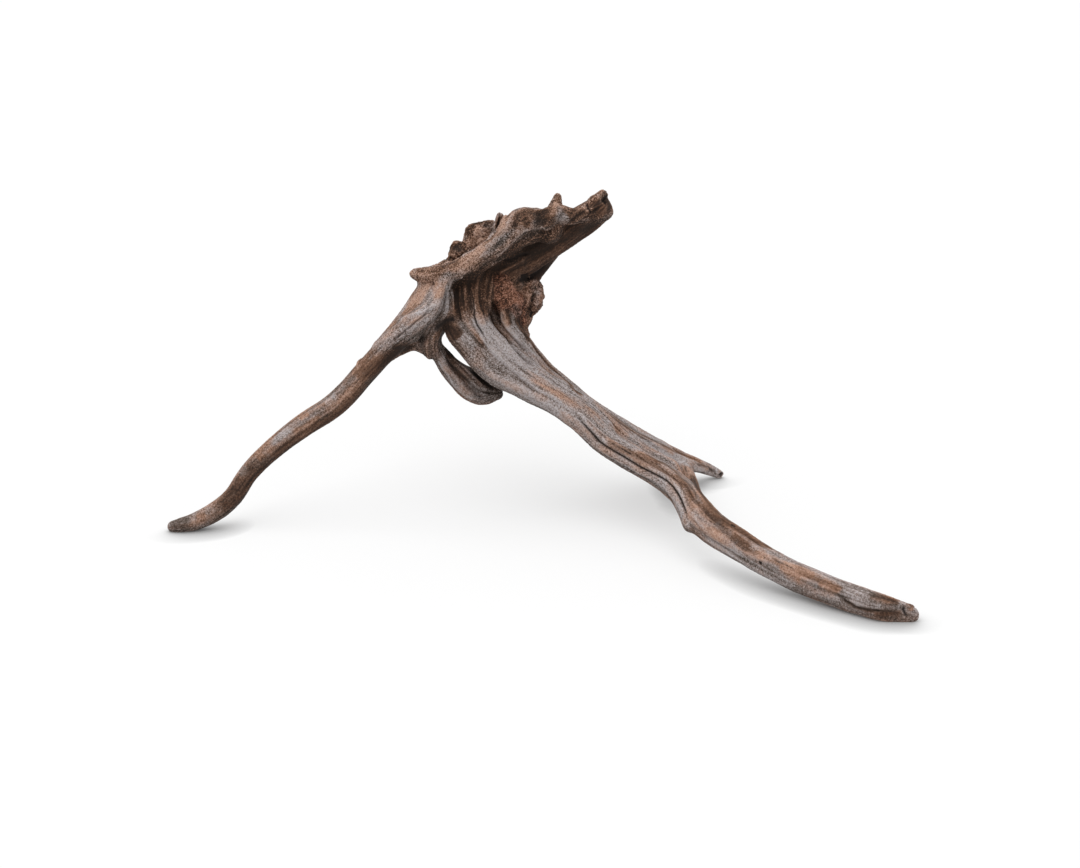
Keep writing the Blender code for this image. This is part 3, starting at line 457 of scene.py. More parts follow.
prong = {
    "node": "prong",
    "inside": (112, 68, 8),
    "seam": {"at": (104, 63, 12.5), "square": (0.86, 0.2, -0.46), "reach": 18},
    "strands": {
        "prong": [(78, 60, 28, 6), (95, 63, 18.3, 5.9), (109, 66, 12.1, 4.9), (118.5, 70, 6.7, 4.1),
                  (125.6, 72, 2.6, 3.2)],
    },
    "marks": [
        ("dark", 1.8, 1, [(720, 472), (722, 477)]),
        ("light", 3.4, 1, [(694, 468), (704, 471.5), (714, 474.5)]),
        ("groove", 1, 0.8, [(694, 462), (706, 467), (716, 472)]),
    ],
}

limbs = [crown, leftLeg, trunk, hangingRoot, upperArm, rightLeg, prong]


def toFrame(x, y, z):
    return Vector((x - survey["middleX"], y - survey["middleY"], z)) * survey["mm"]


def addCamera():
    tilt = math.radians(photoView["tilt"])
    back = photoView["distance"] * math.cos(tilt)
    height = photoView["aimHeight"] + photoView["distance"] * math.sin(tilt)
    bpy.ops.object.camera_add(location=toFrame(0, -back, height), rotation=(math.pi / 2 - tilt, 0, 0))
    camera = bpy.context.object
    camera.name = "camera"
    camera.data.sensor_width = photoView["sensor"]
    camera.data.lens = photoView["focalPixels"] * photoView["sensor"] / photoView["width"]
    camera.data.clip_end = 20
    bpy.context.scene.camera = camera
    return camera


def addStrand(name, stations):
    bpy.ops.curve.primitive_bezier_curve_add()
    strand = bpy.context.object
    strand.name = name
    strand.matrix_world = Matrix.Identity(4)
    curve = strand.data
    curve.dimensions = "3D"
    curve.resolution_u = 14
    curve.bevel_depth = survey["mm"]
    curve.bevel_resolution = 7
    curve.use_fill_caps = True
    spline = curve.splines[0]
    spline.radius_interpolation = "CARDINAL"
    spline.bezier_points.add(len(stations) - 2)
    for point, (x, y, z, radius) in zip(spline.bezier_points, stations):
        point.handle_left_type = "AUTO"
        point.handle_right_type = "AUTO"
        point.co = toFrame(x, y, z)
        point.radius = radius
    return strand


def webStrands():
    found = {}
    for index in range(trunk["webStrands"]):
        share = (index + 0.5) / trunk["webStrands"]
        sag = Vector((0, 0, -trunk["webSag"] * math.sin(math.pi * share), 0))
        pairs = zip(trunk["webFront"], trunk["webBack"])
        found["web%d" % index] = [tuple(Vector(a).lerp(Vector(b), share) + sag) for a, b in pairs]
    return found


def allStrands():
    found = {}
    for limb in limbs:
        found.update(limb["strands"])
    found.update(webStrands())
    return found


def deselectAll():
    for thing in bpy.context.selected_objects:
        thing.select_set(False)


def pick(thing):
    deselectAll()
    thing.select_set(True)
    bpy.context.view_layer.objects.active = thing


def looseParts(thing):
    pick(thing)
    bpy.ops.object.mode_set(mode="EDIT")
    bpy.ops.mesh.separate(type="LOOSE")
    bpy.ops.object.mode_set(mode="OBJECT")
    return list(bpy.context.selected_objects)


def applyModifier(thing, kind, **settings):
    bpy.context.view_layer.objects.active = thing
    modifier = thing.modifiers.new(kind.lower(), kind)
    for name, value in settings.items():
        setattr(modifier, name, value)
    bpy.ops.object.modifier_apply(modifier=modifier.name)


def fuseStrands():
    deselectAll()
    made = []
    for name, stations in allStrands().items():
        made.append(addStrand(name, stations))
        for x, y, z, radius in (stations[0], stations[-1]):
            bpy.ops.mesh.primitive_ico_sphere_add(subdivisions=3, radius=radius * survey["mm"],
                                                  location=toFrame(x, y, z))
            made.append(bpy.context.object)
    for thing in made:
        thing.select_set(True)
    bpy.context.view_layer.objects.active = made[0]
    bpy.ops.object.convert(target="MESH")
    bpy.ops.object.join()
    root = bpy.context.object
    bpy.ops.object.transform_apply(location=True, rotation=True, scale=True)
    root.name = "root_wood"
    applyModifier(root, "REMESH", mode="VOXEL", voxel_size=skin["voxel"] * survey["mm"])
    applyModifier(root, "SMOOTH", factor=skin["settleShare"], iterations=skin["settle"])
    print("fused", len(made), "shapes into", len(root.data.vertices), "points")
    return root


def readPoints(mesh):
    points = np.empty(len(mesh.vertices) * 3, np.float32)
    mesh.vertices.foreach_get("co", points)
    return points.reshape(-1, 3).astype(np.float64)


def writePoints(mesh, points):
    mesh.vertices.foreach_set("co", points.astype(np.float32).ravel())
    mesh.update()


def readNormals(mesh):
    normals = np.empty(len(mesh.vertices) * 3, np.float32)
    mesh.vertex_normals.foreach_get("vector", normals)
    return normals.reshape(-1, 3).astype(np.float64)


def readLinks(mesh):
    pairs = np.empty(len(mesh.edges) * 2, np.int32)
    mesh.edges.foreach_get("vertices", pairs)
    first, second = pairs.reshape(-1, 2).T
    count = len(mesh.vertices)
    degree = np.bincount(first, minlength=count) + np.bincount(second, minlength=count)
    return first, second, np.maximum(degree, 1), count


def blur(values, links, passes, share=0.5):
    first, second, degree, count = links
    columns = values.reshape(count, -1).T.astype(np.float64).copy()
    for _ in range(passes):
        for index, column in enumerate(columns):
            near = np.bincount(first, column[second], count) + np.bincount(second, column[first], count)
            columns[index] = (1 - share) * column + share * near / degree
    return columns.T.reshape(values.shape)


def unit(vectors):
    return vectors / np.maximum(np.linalg.norm(vectors, axis=-1, keepdims=True), 1e-12)


def skinTree(mesh):
    return BVHTree.FromPolygons(readPoints(mesh).tolist(), [tuple(face.vertices) for face in mesh.polygons])


def pointTree(places):
    tree = KDTree(len(places))
    for index, place in enumerate(places.tolist()):
        tree.insert(place, index)
    tree.balance()
    return tree


def evenSteps(rows, step, extra=0):
    lengths = np.linalg.norm(np.diff(rows[:, :3], axis=0), axis=1)
    along = np.concatenate([[0], np.cumsum(lengths)])
    spots = np.linspace(0, along[-1], max(3, int(along[-1] / step) + extra))
    return np.stack([np.interp(spots, along, column) for column in rows.T], axis=1)


def keepLargestPart(root):
    parts = sorted(looseParts(root), key=lambda part: len(part.data.vertices))
    for part in parts[:-1]:
        bpy.data.objects.remove(part)
    parts[-1].name = "root_wood"
    return parts[-1]


# The grain runs along the strands: each point takes its direction from the strand it lies nearest to.
grain = {"sampleStep": 2.5, "blendPasses": 26, "blendTurns": 6, "longStep": 3.2, "longSteps": 6,
         "shortStep": 0.9, "shortSteps": 2, "pointsAtOnce": 20000}


def sampleStrands():
    places, runs, radii, owners, names = [], [], [], [], []
    for name, stations in allStrands().items():
        rows = np.array(stations, float)
        rows[:, 0] -= survey["middleX"]
        rows[:, 1] -= survey["middleY"]
        line = evenSteps(rows, grain["sampleStep"])
        places.append(line[:, :3])
        radii.append(line[:, 3])
        runs.append(unit(np.gradient(line[:, :3], axis=0)))
        owners.append(np.full(len(line), len(names)))
        names.append(name)
    mm = survey["mm"]
    return (np.concatenate(places) * mm, np.concatenate(runs), np.concatenate(radii) * mm,
            np.concatenate(owners), names)


def nearestStrand(points, strands):
    places, runs, radii, owners, names = strands
    nearest = np.empty(len(points), np.int64)
    sizes = (places ** 2).sum(axis=1)
    count = grain["pointsAtOnce"]
    for start in range(0, len(points), count):
        block = points[start:start + count]
        squares = (block ** 2).sum(axis=1)[:, None] + sizes[None, :] - 2 * block @ places.T
        nearest[start:start + count] = (np.sqrt(np.maximum(squares, 0)) - radii[None, :]).argmin(axis=1)
    return nearest


def grainDirection(points, normals, links, strands, nearest):
    run = strands[1][nearest]
    tensor = np.einsum("ij,ik->ijk", run, run).reshape(-1, 9)
    tensor = blur(tensor, links, grain["blendPasses"]).reshape(-1, 3, 3)
    flow = run.copy()
    for _ in range(grain["blendTurns"]):
        flow = unit(np.einsum("ijk,ik->ij", tensor, flow))
    flow -= normals * (flow * normals).sum(axis=1, keepdims=True)
    return unit(flow)


def stepMaps(points, flow):
    tree = pointTree(points)
    maps = {}
    for reach in ("longStep", "shortStep"):
        step = grain[reach] * survey["mm"]
        for way in (1, -1):
            target = (points + flow * step * way).tolist()
            maps[reach, way] = np.array([tree.find(place)[1] for place in target])
    return maps


def dragAlong(values, maps, reach, count):
    total = values.copy()
    for way in (1, -1):
        spot = np.arange(len(values))
        for _ in range(count):
            spot = maps[reach, way][spot]
            total += values[spot]
    return total / (2 * count + 1)


def makeStreaks(rng, links, maps, passes, longSteps=None):
    raw = blur(rng.normal(size=links[3]), links, passes)
    raw = dragAlong(raw, maps, "longStep", longSteps or grain["longSteps"])
    raw = dragAlong(raw, maps, "shortStep", grain["shortSteps"])
    raw -= raw.mean()
    return raw / raw.std()


def cloudNoise(points, scale, octaves=3, seed=0):
    shift = Vector((seed * 7.3, seed * 3.1, seed * 5.7))
    size = 1 / (scale * survey["mm"])
    return np.array([noise.fractal(Vector(place) * size + shift, 1.0, 2.0, octaves)
                     for place in points.tolist()])


def rayThrough(camera, u, v):
    tilt = math.radians(photoView["tilt"])
    ahead = Vector((0, math.cos(tilt), -math.sin(tilt)))
    up = Vector((0, math.sin(tilt), math.cos(tilt)))
    side = (u - photoView["aimU"]) / photoView["focalPixels"]
    rise = (photoView["aimV"] - v) / photoView["focalPixels"]
    return (ahead + up * rise + Vector((1, 0, 0)) * side).normalized()


def smoothLine(knots, step):
    line = evenSteps(np.array(knots, float), step, 1)
    for _ in range(2):
        line[1:-1] = (line[:-2] + 2 * line[1:-1] + line[2:]) / 4
    return line


def traceStroke(tree, camera, knots):
    hits = []
    for u, v in smoothLine(knots, 1.0):
        place, normal, face, distance = tree.ray_cast(camera.location, rayThrough(camera, u, v))
        if place is not None and normal is not None:
            hits.append((*place, *normal))
    return np.array(hits)


# How a stroke fades: across its width, towards its ends, and where the wood turns away from it. ridgePale
# paints a highlight along ridges, and grooveDark paints shade into grooves.
brush = {"reach": 2.6, "endShare": 0.16, "endEase": 0.6, "facingGain": 1.6, "facingLoss": 0.1,
         "ridgePale": 0.45, "grooveDark": 0.55, "ledgeStep": 2}


def carve(points, normals, masks, tree, camera, stroke):
    kind, width, depth, knots = stroke
    hits = traceStroke(tree, camera, knots)
    if len(hits) < 3:
        print("a stroke missed the wood", knots[0])
        return
    places, facing = hits[:, :3], hits[:, 3:]
    wide = width * survey["mm"]
    reach = brush["reach"] * wide
    near = np.all((points > places.min(axis=0) - reach) & (points < places.max(axis=0) + reach), axis=1)
    near = np.nonzero(near)[0]
    gaps = points[near][:, None, :] - places[None, :, :]
    squares = (gaps ** 2).sum(axis=2)
    closest = squares.argmin(axis=1)
    distance = np.sqrt(squares[np.arange(len(near)), closest])
    share = closest / (len(places) - 1)
    taper = np.clip(np.minimum(share, 1 - share) / brush["endShare"], 0, 1) ** brush["endEase"]
    turned = (normals[near] * facing[closest]).sum(axis=1)
    same = np.clip(turned * brush["facingGain"] - brush["facingLoss"], 0, 1)
    weight = np.exp(-(distance / wide) ** 2) * taper * same
    if kind in ("ridge", "groove", "crack"):
        sign = 1 if kind == "ridge" else -1
        masks["offset"][near] += sign * depth * weight
    if kind == "ledge":
        run = unit(np.gradient(places, axis=0))[closest]
        side = (np.cross(run, facing[closest]) * gaps[np.arange(len(near)), closest]).sum(axis=1)
        masks["offset"][near] += depth * weight * np.tanh(brush["ledgeStep"] * side / wide)
    # Ridges are painted paler as painted highlight; grooves and cracks are painted darker as painted shade.
    if kind == "ridge":
        masks["pale"][near] = np.maximum(masks["pale"][near], brush["ridgePale"] * weight)
    if kind == "groove":
        masks["dark"][near] = np.maximum(masks["dark"][near], brush["grooveDark"] * weight)
    if kind == "crack":
        masks["dark"][near] = np.maximum(masks["dark"][near], np.exp(-(distance / wide) ** 4) * taper * same)
    # The shade, dark and grey strokes paint shade into the colour, and the light strokes paint highlight.
    if kind in ("warm", "pale", "dark", "shade", "grey", "light"):
        masks[kind][near] = np.maximum(masks[kind][near], depth * weight)


# Depths are in millimetres. Streaks calm down where the wood is rough or thin.
relief = {"streaks": 0.85, "coarse": 0.3, "medium": 0.22, "fine": 0.12, "split": 0.8,
          "fineInSplit": 0.6, "splitStart": 2, "splitMost": 1.2, "burlKnots": 1.6, "roughLumps": 1.3,
          "roughPits": 1.1, "pitStart": 0.1, "rimLumps": 0.5, "floorTouch": 0.6, "boxSpare": 2}
calmer = {"burl": 0.65, "rough": 0.45, "leg": 0.4, "rim": 0.25}
# Each cloud has its size in millimetres, its octaves and its own place in the noise.
clouds = {"lumps": (6, 4, 1), "drift": (22, 3, 2), "pits": (2.2, 2, 3), "knots": (9, 2, 4)}
# Each region lists the strands that it grows on.
regions = {
    "burl": ["burl", "burlLobe", "burlFace"],
    "rust": ["burlFace"],
    "rough": ["plate", "basin", "backRim", "chunk", "chunkTip", "knob", "back", "core"],
    "rim": ["frontRim", "apron", "crest", "saddle", "stubTip", "stubSide", "horn"],
    "leg": ["thinLeg"],
    "stout": ["stoutLeg", "toe"],
    "under": ["arm", "underside", "core", "hollowBack"],
    "broad": ["middleRidge", "frontRidge", "frontFill", "topFill", "heart", "back", "arm", "underside",
              "core", "hollowBack", "shoulderBack", "stoutLeg", "topRidge", *webStrands()],
}
# How far the open wood has bleached to grey on each strand; the rest stays brown.
bleach = {
    "thinLeg": 0.31, "shoulderBack": 0.3, "shoulderFront": 0.5, "shoulderFlap": 0.6, "shoulderUnder": 0.4,
    "frontRim": 0.36, "apron": 0.22, "crest": 0.2, "arm": -0.15, "horn": -0.05, "saddle": -0.1, "stubTip": 0,
    "stubSide": -0.05, "underside": -0.2, "backRim": 0.15, "plate": 0.1, "basin": 0.05, "back": 0.2,
    "chunk": 0.35, "chunkTip": 0.2, "knob": -0.1, "longSplinter": 0.3, "shortSplinter": 0.3, "core": -0.1,
    "hollowBack": 0, "farLeftFlute": 0.05, "leftFlute": 0.1, "middleFlute": 0.1, "rightFlute": 0.05,
    "fluteBed": -0.1, "burl": 0.15, "burlLobe": 0.15, "burlFace": 0.2, "neck": 0.45, "strap": 0.7,
    "innerLip": 0.6, "topRidge": 0.62, "middleRidge": 0.92, "frontRidge": 0.72, "frontFill": 0.8,
    "topFill": 0.85, "heart": 0.6, "webEdge": 0.4, "stoutLeg": 0.66, "toe": 0.4, "band": 0.85, "prong": 0.85,
}
usualBleach = 0.6

# Settings for the painted shade in hollows and from the sky share, for the spread of the bleach, and for the
# warm drift.
patinaAndShade = {"nearPasses": 6, "nearGain": 2.6, "widePasses": 60, "wideGain": 0.5, "agePasses": 30,
          "skyGain": 1.7, "shadedAge": 0.35, "driftGain": 1.4, "driftLoss": 0.5, "deepGain": 2.2,
          "deepStart": 0.7, "deepMost": 0.8, "smoothMost": 0.85}
# Wood with painted shade or painted highlight, and the sheltered underside strands, shows less grit.
smoothing = {"shade": 0.5, "light": 0.3, "under": 0.6}
# Each colour layer has its start, its least and most, and how much each cause adds or takes away.
# In the tone, cavity, open and the sky share in the bleach paint shade, shade and grey are painted shade, and
# light is painted highlight. In warm, shade paints the shaded wood browner. In dark, every cause darkens
# cracks, splits and hollows as painted shade.
layers = {
    "tone": (0.1, 0, 0.86, {"open": 0.3, "bleachedAndSkyShaded": 0.42, "cavity": -0.2, "medium": 0.05, "fine": 0.05,
                            "hair": 0.04, "drift": 0.1, "roughLumps": 0.05, "legDrift": 0.08,
                            "pale": 0.16, "warm": 0.08, "shade": -0.36, "grey": -0.14, "light": 0.2}),
    "warm": (0.95, 0, 1, {"age": -1.05, "warmDrift": 0.5, "warm": 1, "coarse": 0.2, "medium": 0.12,
                          "shade": 0.85, "pale": -0.5, "grey": -0.6}),
    "dark": (0, 0, 1, {"dark": 1, "splits": 0.6, "deep": 1}),
    "grit": (1, -2, 3, {"rough": 0.4, "rim": 0.45, "leg": -0.3, "stout": -0.33, "smooth": -1}),
    "red": (0, 0, 1, {"rust": 1, "burl": 0.25}),
}


def regionShares(points, links, strands, nearest):
    owner = strands[3][nearest]
    shares = {}
    for region, names in regions.items():
        ids = [strands[4].index(name) for name in names]
        shares[region] = blur(np.isin(owner, ids).astype(float), links, skin["regionPasses"])
    return shares


def fillGrooves(mesh, links):
    # Young wood grows over the gaps between the strands, and leaves their crests alone.
    for _ in range(skin["fillRounds"]):
        points = readPoints(mesh)
        normals = readNormals(mesh)
        pull = blur(points, links, skin["fillPasses"]) - points
        rise = (pull * normals).sum(axis=1)
        points += normals * np.maximum(rise, 0)[:, None] * skin["fillShare"]
        points += pull * skin["fillEase"]
        points[:, 2] = np.maximum(points[:, 2], 0)
        writePoints(mesh, points)


def levelBroadFaces(mesh, links, share):
    # The strands leave ropes on the broad faces: these are evened out at the same girth.
    points = readPoints(mesh)
    low = blur(points, links, skin["levelPasses"])
    facing = unit(blur(readNormals(mesh), links, skin["facingPasses"]))
    sunk = blur(((points - low) * facing).sum(axis=1), links, skin["levelPasses"])
    points += (low + facing * sunk[:, None] - points) * (skin["levelShare"] * share)[:, None]
    points[:, 2] = np.maximum(points[:, 2], 0)
    writePoints(mesh, points)


shelter = {"rays": 28, "samples": 26000, "reach": 160, "lift": 0.8, "softening": 16, "leastShare": 0.05}


def skyShare(points, normals, links, tree, rng):
    # How much sky each point sees from above. The tone uses it as painted shade: sheltered and
    # downward-facing wood is painted darker and open wood lighter. It also scales the bleach.
    turn = math.pi * (3 - math.sqrt(5))
    heights = (np.arange(shelter["rays"]) + 0.5) / shelter["rays"]
    rings = np.sqrt(1 - heights ** 2)
    angles = turn * np.arange(shelter["rays"])
    sky = np.stack([rings * np.cos(angles), rings * np.sin(angles), heights], axis=1)
    picked = rng.choice(len(points), shelter["samples"], replace=False)
    facing = np.maximum(normals[picked] @ sky.T, 0)
    reach = shelter["reach"] * survey["mm"]
    lift = shelter["lift"] * survey["mm"]
    seen = np.zeros(len(picked))
    directions = [Vector(ray) for ray in sky]
    for index, (place, normal) in enumerate(zip(points[picked].tolist(), normals[picked].tolist())):
        start = Vector(place) + Vector(normal) * lift
        for share, direction in zip(facing[index].tolist(), directions):
            if share > shelter["leastShare"] and tree.ray_cast(start, direction, reach)[0] is None:
                seen[index] += share
    seen /= sky[:, 2].sum()
    finder = pointTree(points[picked])
    nearest = np.array([finder.find(place)[1] for place in points.tolist()])
    return blur(seen[nearest], links, shelter["softening"])


# Lays the grain and relief, and builds the colour layers, with painted shade and painted highlight in the
# tone, warm and dark layers.
def weatherAndShade(root, camera):
    mesh = root.data
    links = readLinks(mesh)
    fillGrooves(mesh, links)
    strands = sampleStrands()
    points = readPoints(mesh)
    nearest = nearestStrand(points, strands)
    shares = regionShares(points, links, strands, nearest)
    levelBroadFaces(mesh, links, shares["broad"])
    points = readPoints(mesh)
    normals = readNormals(mesh)
    flow = grainDirection(points, normals, links, strands, nearest)
    maps = stepMaps(points, flow)
    print("grain laid along", len(strands[4]), "strands")

    rng = np.random.default_rng(survey["seed"])
    coarse = makeStreaks(rng, links, maps, 22)
    medium = makeStreaks(rng, links, maps, 7)
    fine = makeStreaks(rng, links, maps, 1, 4)
    hair = makeStreaks(rng, links, maps, 1, 2)
    cloud = {name: cloudNoise(points, *shape) for name, shape in clouds.items()}

    masks = {name: np.zeros(len(points))
             for name in ("offset", "pale", "dark", "warm", "shade", "grey", "light")}
    tree = skinTree(mesh)
    for limb in limbs:
        for mark in limb["marks"]:
            carve(points, normals, masks, tree, camera, mark)
    print("marks carved")
    sky = skyShare(points, normals, links, tree, rng)
    print("open sky found")

    rough = np.clip(shares["burl"] + shares["rough"], 0, 1)
    streaky = relief["streaks"]
    for region, loss in calmer.items():
        streaky = streaky - loss * shares[region]
    offset = streaky * (relief["coarse"] * coarse + relief["medium"] * medium + relief["fine"] * fine)
    splits = np.clip(medium + relief["fineInSplit"] * fine - relief["splitStart"], 0, relief["splitMost"])
    offset -= relief["split"] * splits * streaky
    offset += relief["burlKnots"] * shares["burl"] * cloud["knots"]
    pitted = np.clip(cloud["pits"] - relief["pitStart"], 0, 1)
    offset += rough * (relief["roughLumps"] * cloud["lumps"] - relief["roughPits"] * pitted)
    offset += relief["rimLumps"] * shares["rim"] * cloud["lumps"]
    offset += masks["offset"]
    moved = points + normals * (offset * survey["mm"])[:, None]
    resting = points[:, 2] < relief["floorTouch"] * survey["mm"]
    moved[resting, 2] = points[resting, 2]
    spare = relief["boxSpare"] * survey["mm"]
    moved = np.clip(moved, np.array(cadBox[0]) - spare, np.array(cadBox[1]) + spare)
    moved[:, 2] = np.maximum(moved[:, 2], 0)
    writePoints(mesh, moved)

    normals = readNormals(mesh)
    # Hollows are painted darker as painted shade: cavity lowers the tone, and deep mixes in near-black.
    hollow = {name: ((blur(moved, links, passes) - moved) * normals).sum(axis=1) / survey["mm"]
              for name, passes in (("near", patinaAndShade["nearPasses"]), ("wide", patinaAndShade["widePasses"]))}
    cavity = np.clip(hollow["near"] * patinaAndShade["nearGain"], -1, 1)
    cavity += np.clip(hollow["wide"] * patinaAndShade["wideGain"], -1, 1)
    age = np.array([bleach.get(name, usualBleach) for name in strands[4]])[strands[3][nearest]]
    age = blur(age, links, patinaAndShade["agePasses"])
    # The sky share paints shade into the tone: openness lightens open wood and scales the bleach, so
    # sheltered wood is painted darker.
    openness = np.clip(sky * patinaAndShade["skyGain"], 0, 1)
    bleachedAndSkyShaded = age * (patinaAndShade["shadedAge"] + (1 - patinaAndShade["shadedAge"]) * openness)
    cause = {**masks, **cloud, "coarse": coarse, "medium": medium, "fine": fine, "hair": hair, "age": age,
             "open": openness, "bleachedAndSkyShaded": bleachedAndSkyShaded, "cavity": cavity, "rough": rough, "splits": splits,
             "roughLumps": rough * cloud["lumps"], "legDrift": shares["leg"] * cloud["drift"],
             "warmDrift": np.clip(cloud["drift"] * patinaAndShade["driftGain"], -patinaAndShade["driftLoss"], 1),
             "deep": np.clip(hollow["near"] * patinaAndShade["deepGain"] - patinaAndShade["deepStart"], 0,
                             patinaAndShade["deepMost"])}
    cause.update({region: shares[region] for region in ("rim", "leg", "stout", "rust", "burl", "under")})
    smooth = sum(share * cause[source] for source, share in smoothing.items())
    cause["smooth"] = np.clip(smooth, 0, patinaAndShade["smoothMost"])
    for name, (start, least, most, shareOf) in layers.items():
        values = start + sum(share * cause[source] for source, share in shareOf.items())
        store(mesh, name, np.clip(values, least, most))
    print("weathered", len(points), "points")


def store(mesh, name, values):
    layer = mesh.attributes.new(name, "FLOAT", "POINT")
    layer.data.foreach_set("value", values.astype(np.float32))


# Colours are linear. The tone attribute runs from the shaded wood in hollows to the bleached ridges.
wood = {
    "tones": [(0.0, (0.02, 0.014, 0.010)), (0.25, (0.065, 0.045, 0.034)), (0.5, (0.165, 0.13, 0.115)),
              (0.75, (0.31, 0.265, 0.255)), (1.0, (0.46, 0.42, 0.42))],
    "warmTones": [(0.0, (0.018, 0.009, 0.0048)), (0.25, (0.062, 0.028, 0.015)), (0.5, (0.15, 0.078, 0.047)),
                  (0.75, (0.31, 0.18, 0.125)), (1.0, (0.46, 0.30, 0.23))],
    # The near-black that the dark attribute mixes in: painted shade in cracks, grooves, splits and hollows,
    # and painted shadow where the dark strokes go.
    "split": (0.012, 0.007, 0.005),
    "rust": (1, 0.78, 0.7),
    "roughness": 0.86, "specular": 0.25,
    "speckleSize": 1, "speckleDetail": 5, "speckleGrain": 0.75, "speckleShare": 3.3,
    "hueSize": 2.6, "hueDetail": 4, "hueGrain": 0.7, "hueShare": 1.1,
    "fibreHeight": 0.6, "fibreStrength": 0.7,
}


def fillRamp(ramp, stops):
    elements = ramp.color_ramp.elements
    while len(elements) < len(stops):
        elements.new(0.5)
    for element, (place, colour) in zip(elements, stops):
        element.position = place
        element.color = (*colour, 1)


def woodMaterial():
    material = bpy.data.materials.new("weathered_wood")
    material.use_nodes = True
    nodes, links = material.node_tree.nodes, material.node_tree.links
    shader = nodes["Principled BSDF"]
    shader.inputs["Roughness"].default_value = wood["roughness"]
    shader.inputs["Specular IOR Level"].default_value = wood["specular"]

    def attribute(name):
        node = nodes.new("ShaderNodeAttribute")
        node.attribute_name = name
        return node.outputs["Fac"]

    def speckleNoise(size, detail, roughness):
        node = nodes.new("ShaderNodeTexNoise")
        node.inputs["Scale"].default_value = 1 / (size * survey["mm"])
        node.inputs["Detail"].default_value = detail
        node.inputs["Roughness"].default_value = roughness
        links.new(place.outputs["Object"], node.inputs["Vector"])
        return node.outputs["Fac"]

    def aroundZero(source, share):
        node = nodes.new("ShaderNodeMath")
        node.operation = "MULTIPLY_ADD"
        links.new(source, node.inputs[0])
        node.inputs[1].default_value = share
        node.inputs[2].default_value = -share / 2
        return node.outputs[0]

    def ramp(tone, stops):
        node = nodes.new("ShaderNodeValToRGB")
        fillRamp(node, stops)
        links.new(tone, node.inputs["Fac"])
        return node.outputs["Color"]

    place = nodes.new("ShaderNodeTexCoord")
    speckle = speckleNoise(wood["speckleSize"], wood["speckleDetail"], wood["speckleGrain"])
    tone = nodes.new("ShaderNodeMath")
    tone.operation = "MULTIPLY_ADD"
    tone.use_clamp = True
    links.new(aroundZero(speckle, wood["speckleShare"]), tone.inputs[0])
    links.new(attribute("grit"), tone.inputs[1])
    links.new(attribute("tone"), tone.inputs[2])
    grey = ramp(tone.outputs[0], wood["tones"])
    orange = ramp(tone.outputs[0], wood["warmTones"])

    mottle = speckleNoise(wood["hueSize"], wood["hueDetail"], wood["hueGrain"])
    hue = nodes.new("ShaderNodeMath")
    hue.operation = "ADD"
    hue.use_clamp = True
    links.new(attribute("warm"), hue.inputs[0])
    links.new(aroundZero(mottle, wood["hueShare"]), hue.inputs[1])

    blend = nodes.new("ShaderNodeMix")
    blend.data_type = "RGBA"
    links.new(hue.outputs[0], blend.inputs["Factor"])
    links.new(grey, blend.inputs["A"])
    links.new(orange, blend.inputs["B"])
    # Mixes in the near-black by the dark attribute: painted shade and painted shadow.
    creviceShade = nodes.new("ShaderNodeMix")
    creviceShade.data_type = "RGBA"
    creviceShade.inputs["B"].default_value = (*wood["split"], 1)
    links.new(attribute("dark"), creviceShade.inputs["Factor"])
    rust = nodes.new("ShaderNodeMix")
    rust.data_type = "RGBA"
    rust.blend_type = "MULTIPLY"
    rust.inputs["B"].default_value = (*wood["rust"], 1)
    links.new(attribute("red"), rust.inputs["Factor"])
    links.new(blend.outputs["Result"], rust.inputs["A"])
    links.new(rust.outputs["Result"], creviceShade.inputs["A"])
    links.new(creviceShade.outputs["Result"], shader.inputs["Base Color"])

    bump = nodes.new("ShaderNodeBump")
    bump.inputs["Strength"].default_value = wood["fibreStrength"]
    bump.inputs["Distance"].default_value = wood["fibreHeight"] * survey["mm"]
    links.new(speckle, bump.inputs["Height"])
    links.new(bump.outputs["Normal"], shader.inputs["Normal"])
    return material


def cutSeam(root, seam):
    mesh = root.data
    place = toFrame(*seam["at"])
    square = Vector(seam["square"]).normalized()
    turn = square.to_track_quat("Z", "Y").to_matrix()
    local = (readPoints(mesh) - np.array(place)) @ np.array(turn)
    reach = seam["reach"] * survey["mm"]
    inside = np.all(np.abs(local) < (reach, reach, 3 * survey["mm"]), axis=1)
    bpy.ops.object.mode_set(mode="EDIT")
    bpy.ops.mesh.select_mode(type="VERT")
    bpy.ops.mesh.select_all(action="DESELECT")
    bpy.ops.object.mode_set(mode="OBJECT")
    mesh.vertices.foreach_set("select", inside)
    bpy.ops.object.mode_set(mode="EDIT")
    bpy.ops.mesh.select_mode(type="VERT")
    bpy.ops.mesh.bisect(plane_co=place, plane_no=square, threshold=1e-7)
    bpy.ops.mesh.edge_split(type="EDGE")
    bpy.ops.object.mode_set(mode="OBJECT")


def capCuts(piece):
    bpy.context.view_layer.objects.active = piece
    bpy.ops.object.mode_set(mode="EDIT")
    bpy.ops.mesh.select_all(action="DESELECT")
    bpy.ops.mesh.select_mode(type="EDGE")
    bpy.ops.mesh.select_non_manifold(extend=False, use_wire=False, use_boundary=True,
                                     use_multi_face=False, use_non_contiguous=False, use_verts=False)
    bpy.ops.mesh.edge_face_add()
    bpy.ops.mesh.quads_convert_to_tris()
    bpy.ops.object.mode_set(mode="OBJECT")


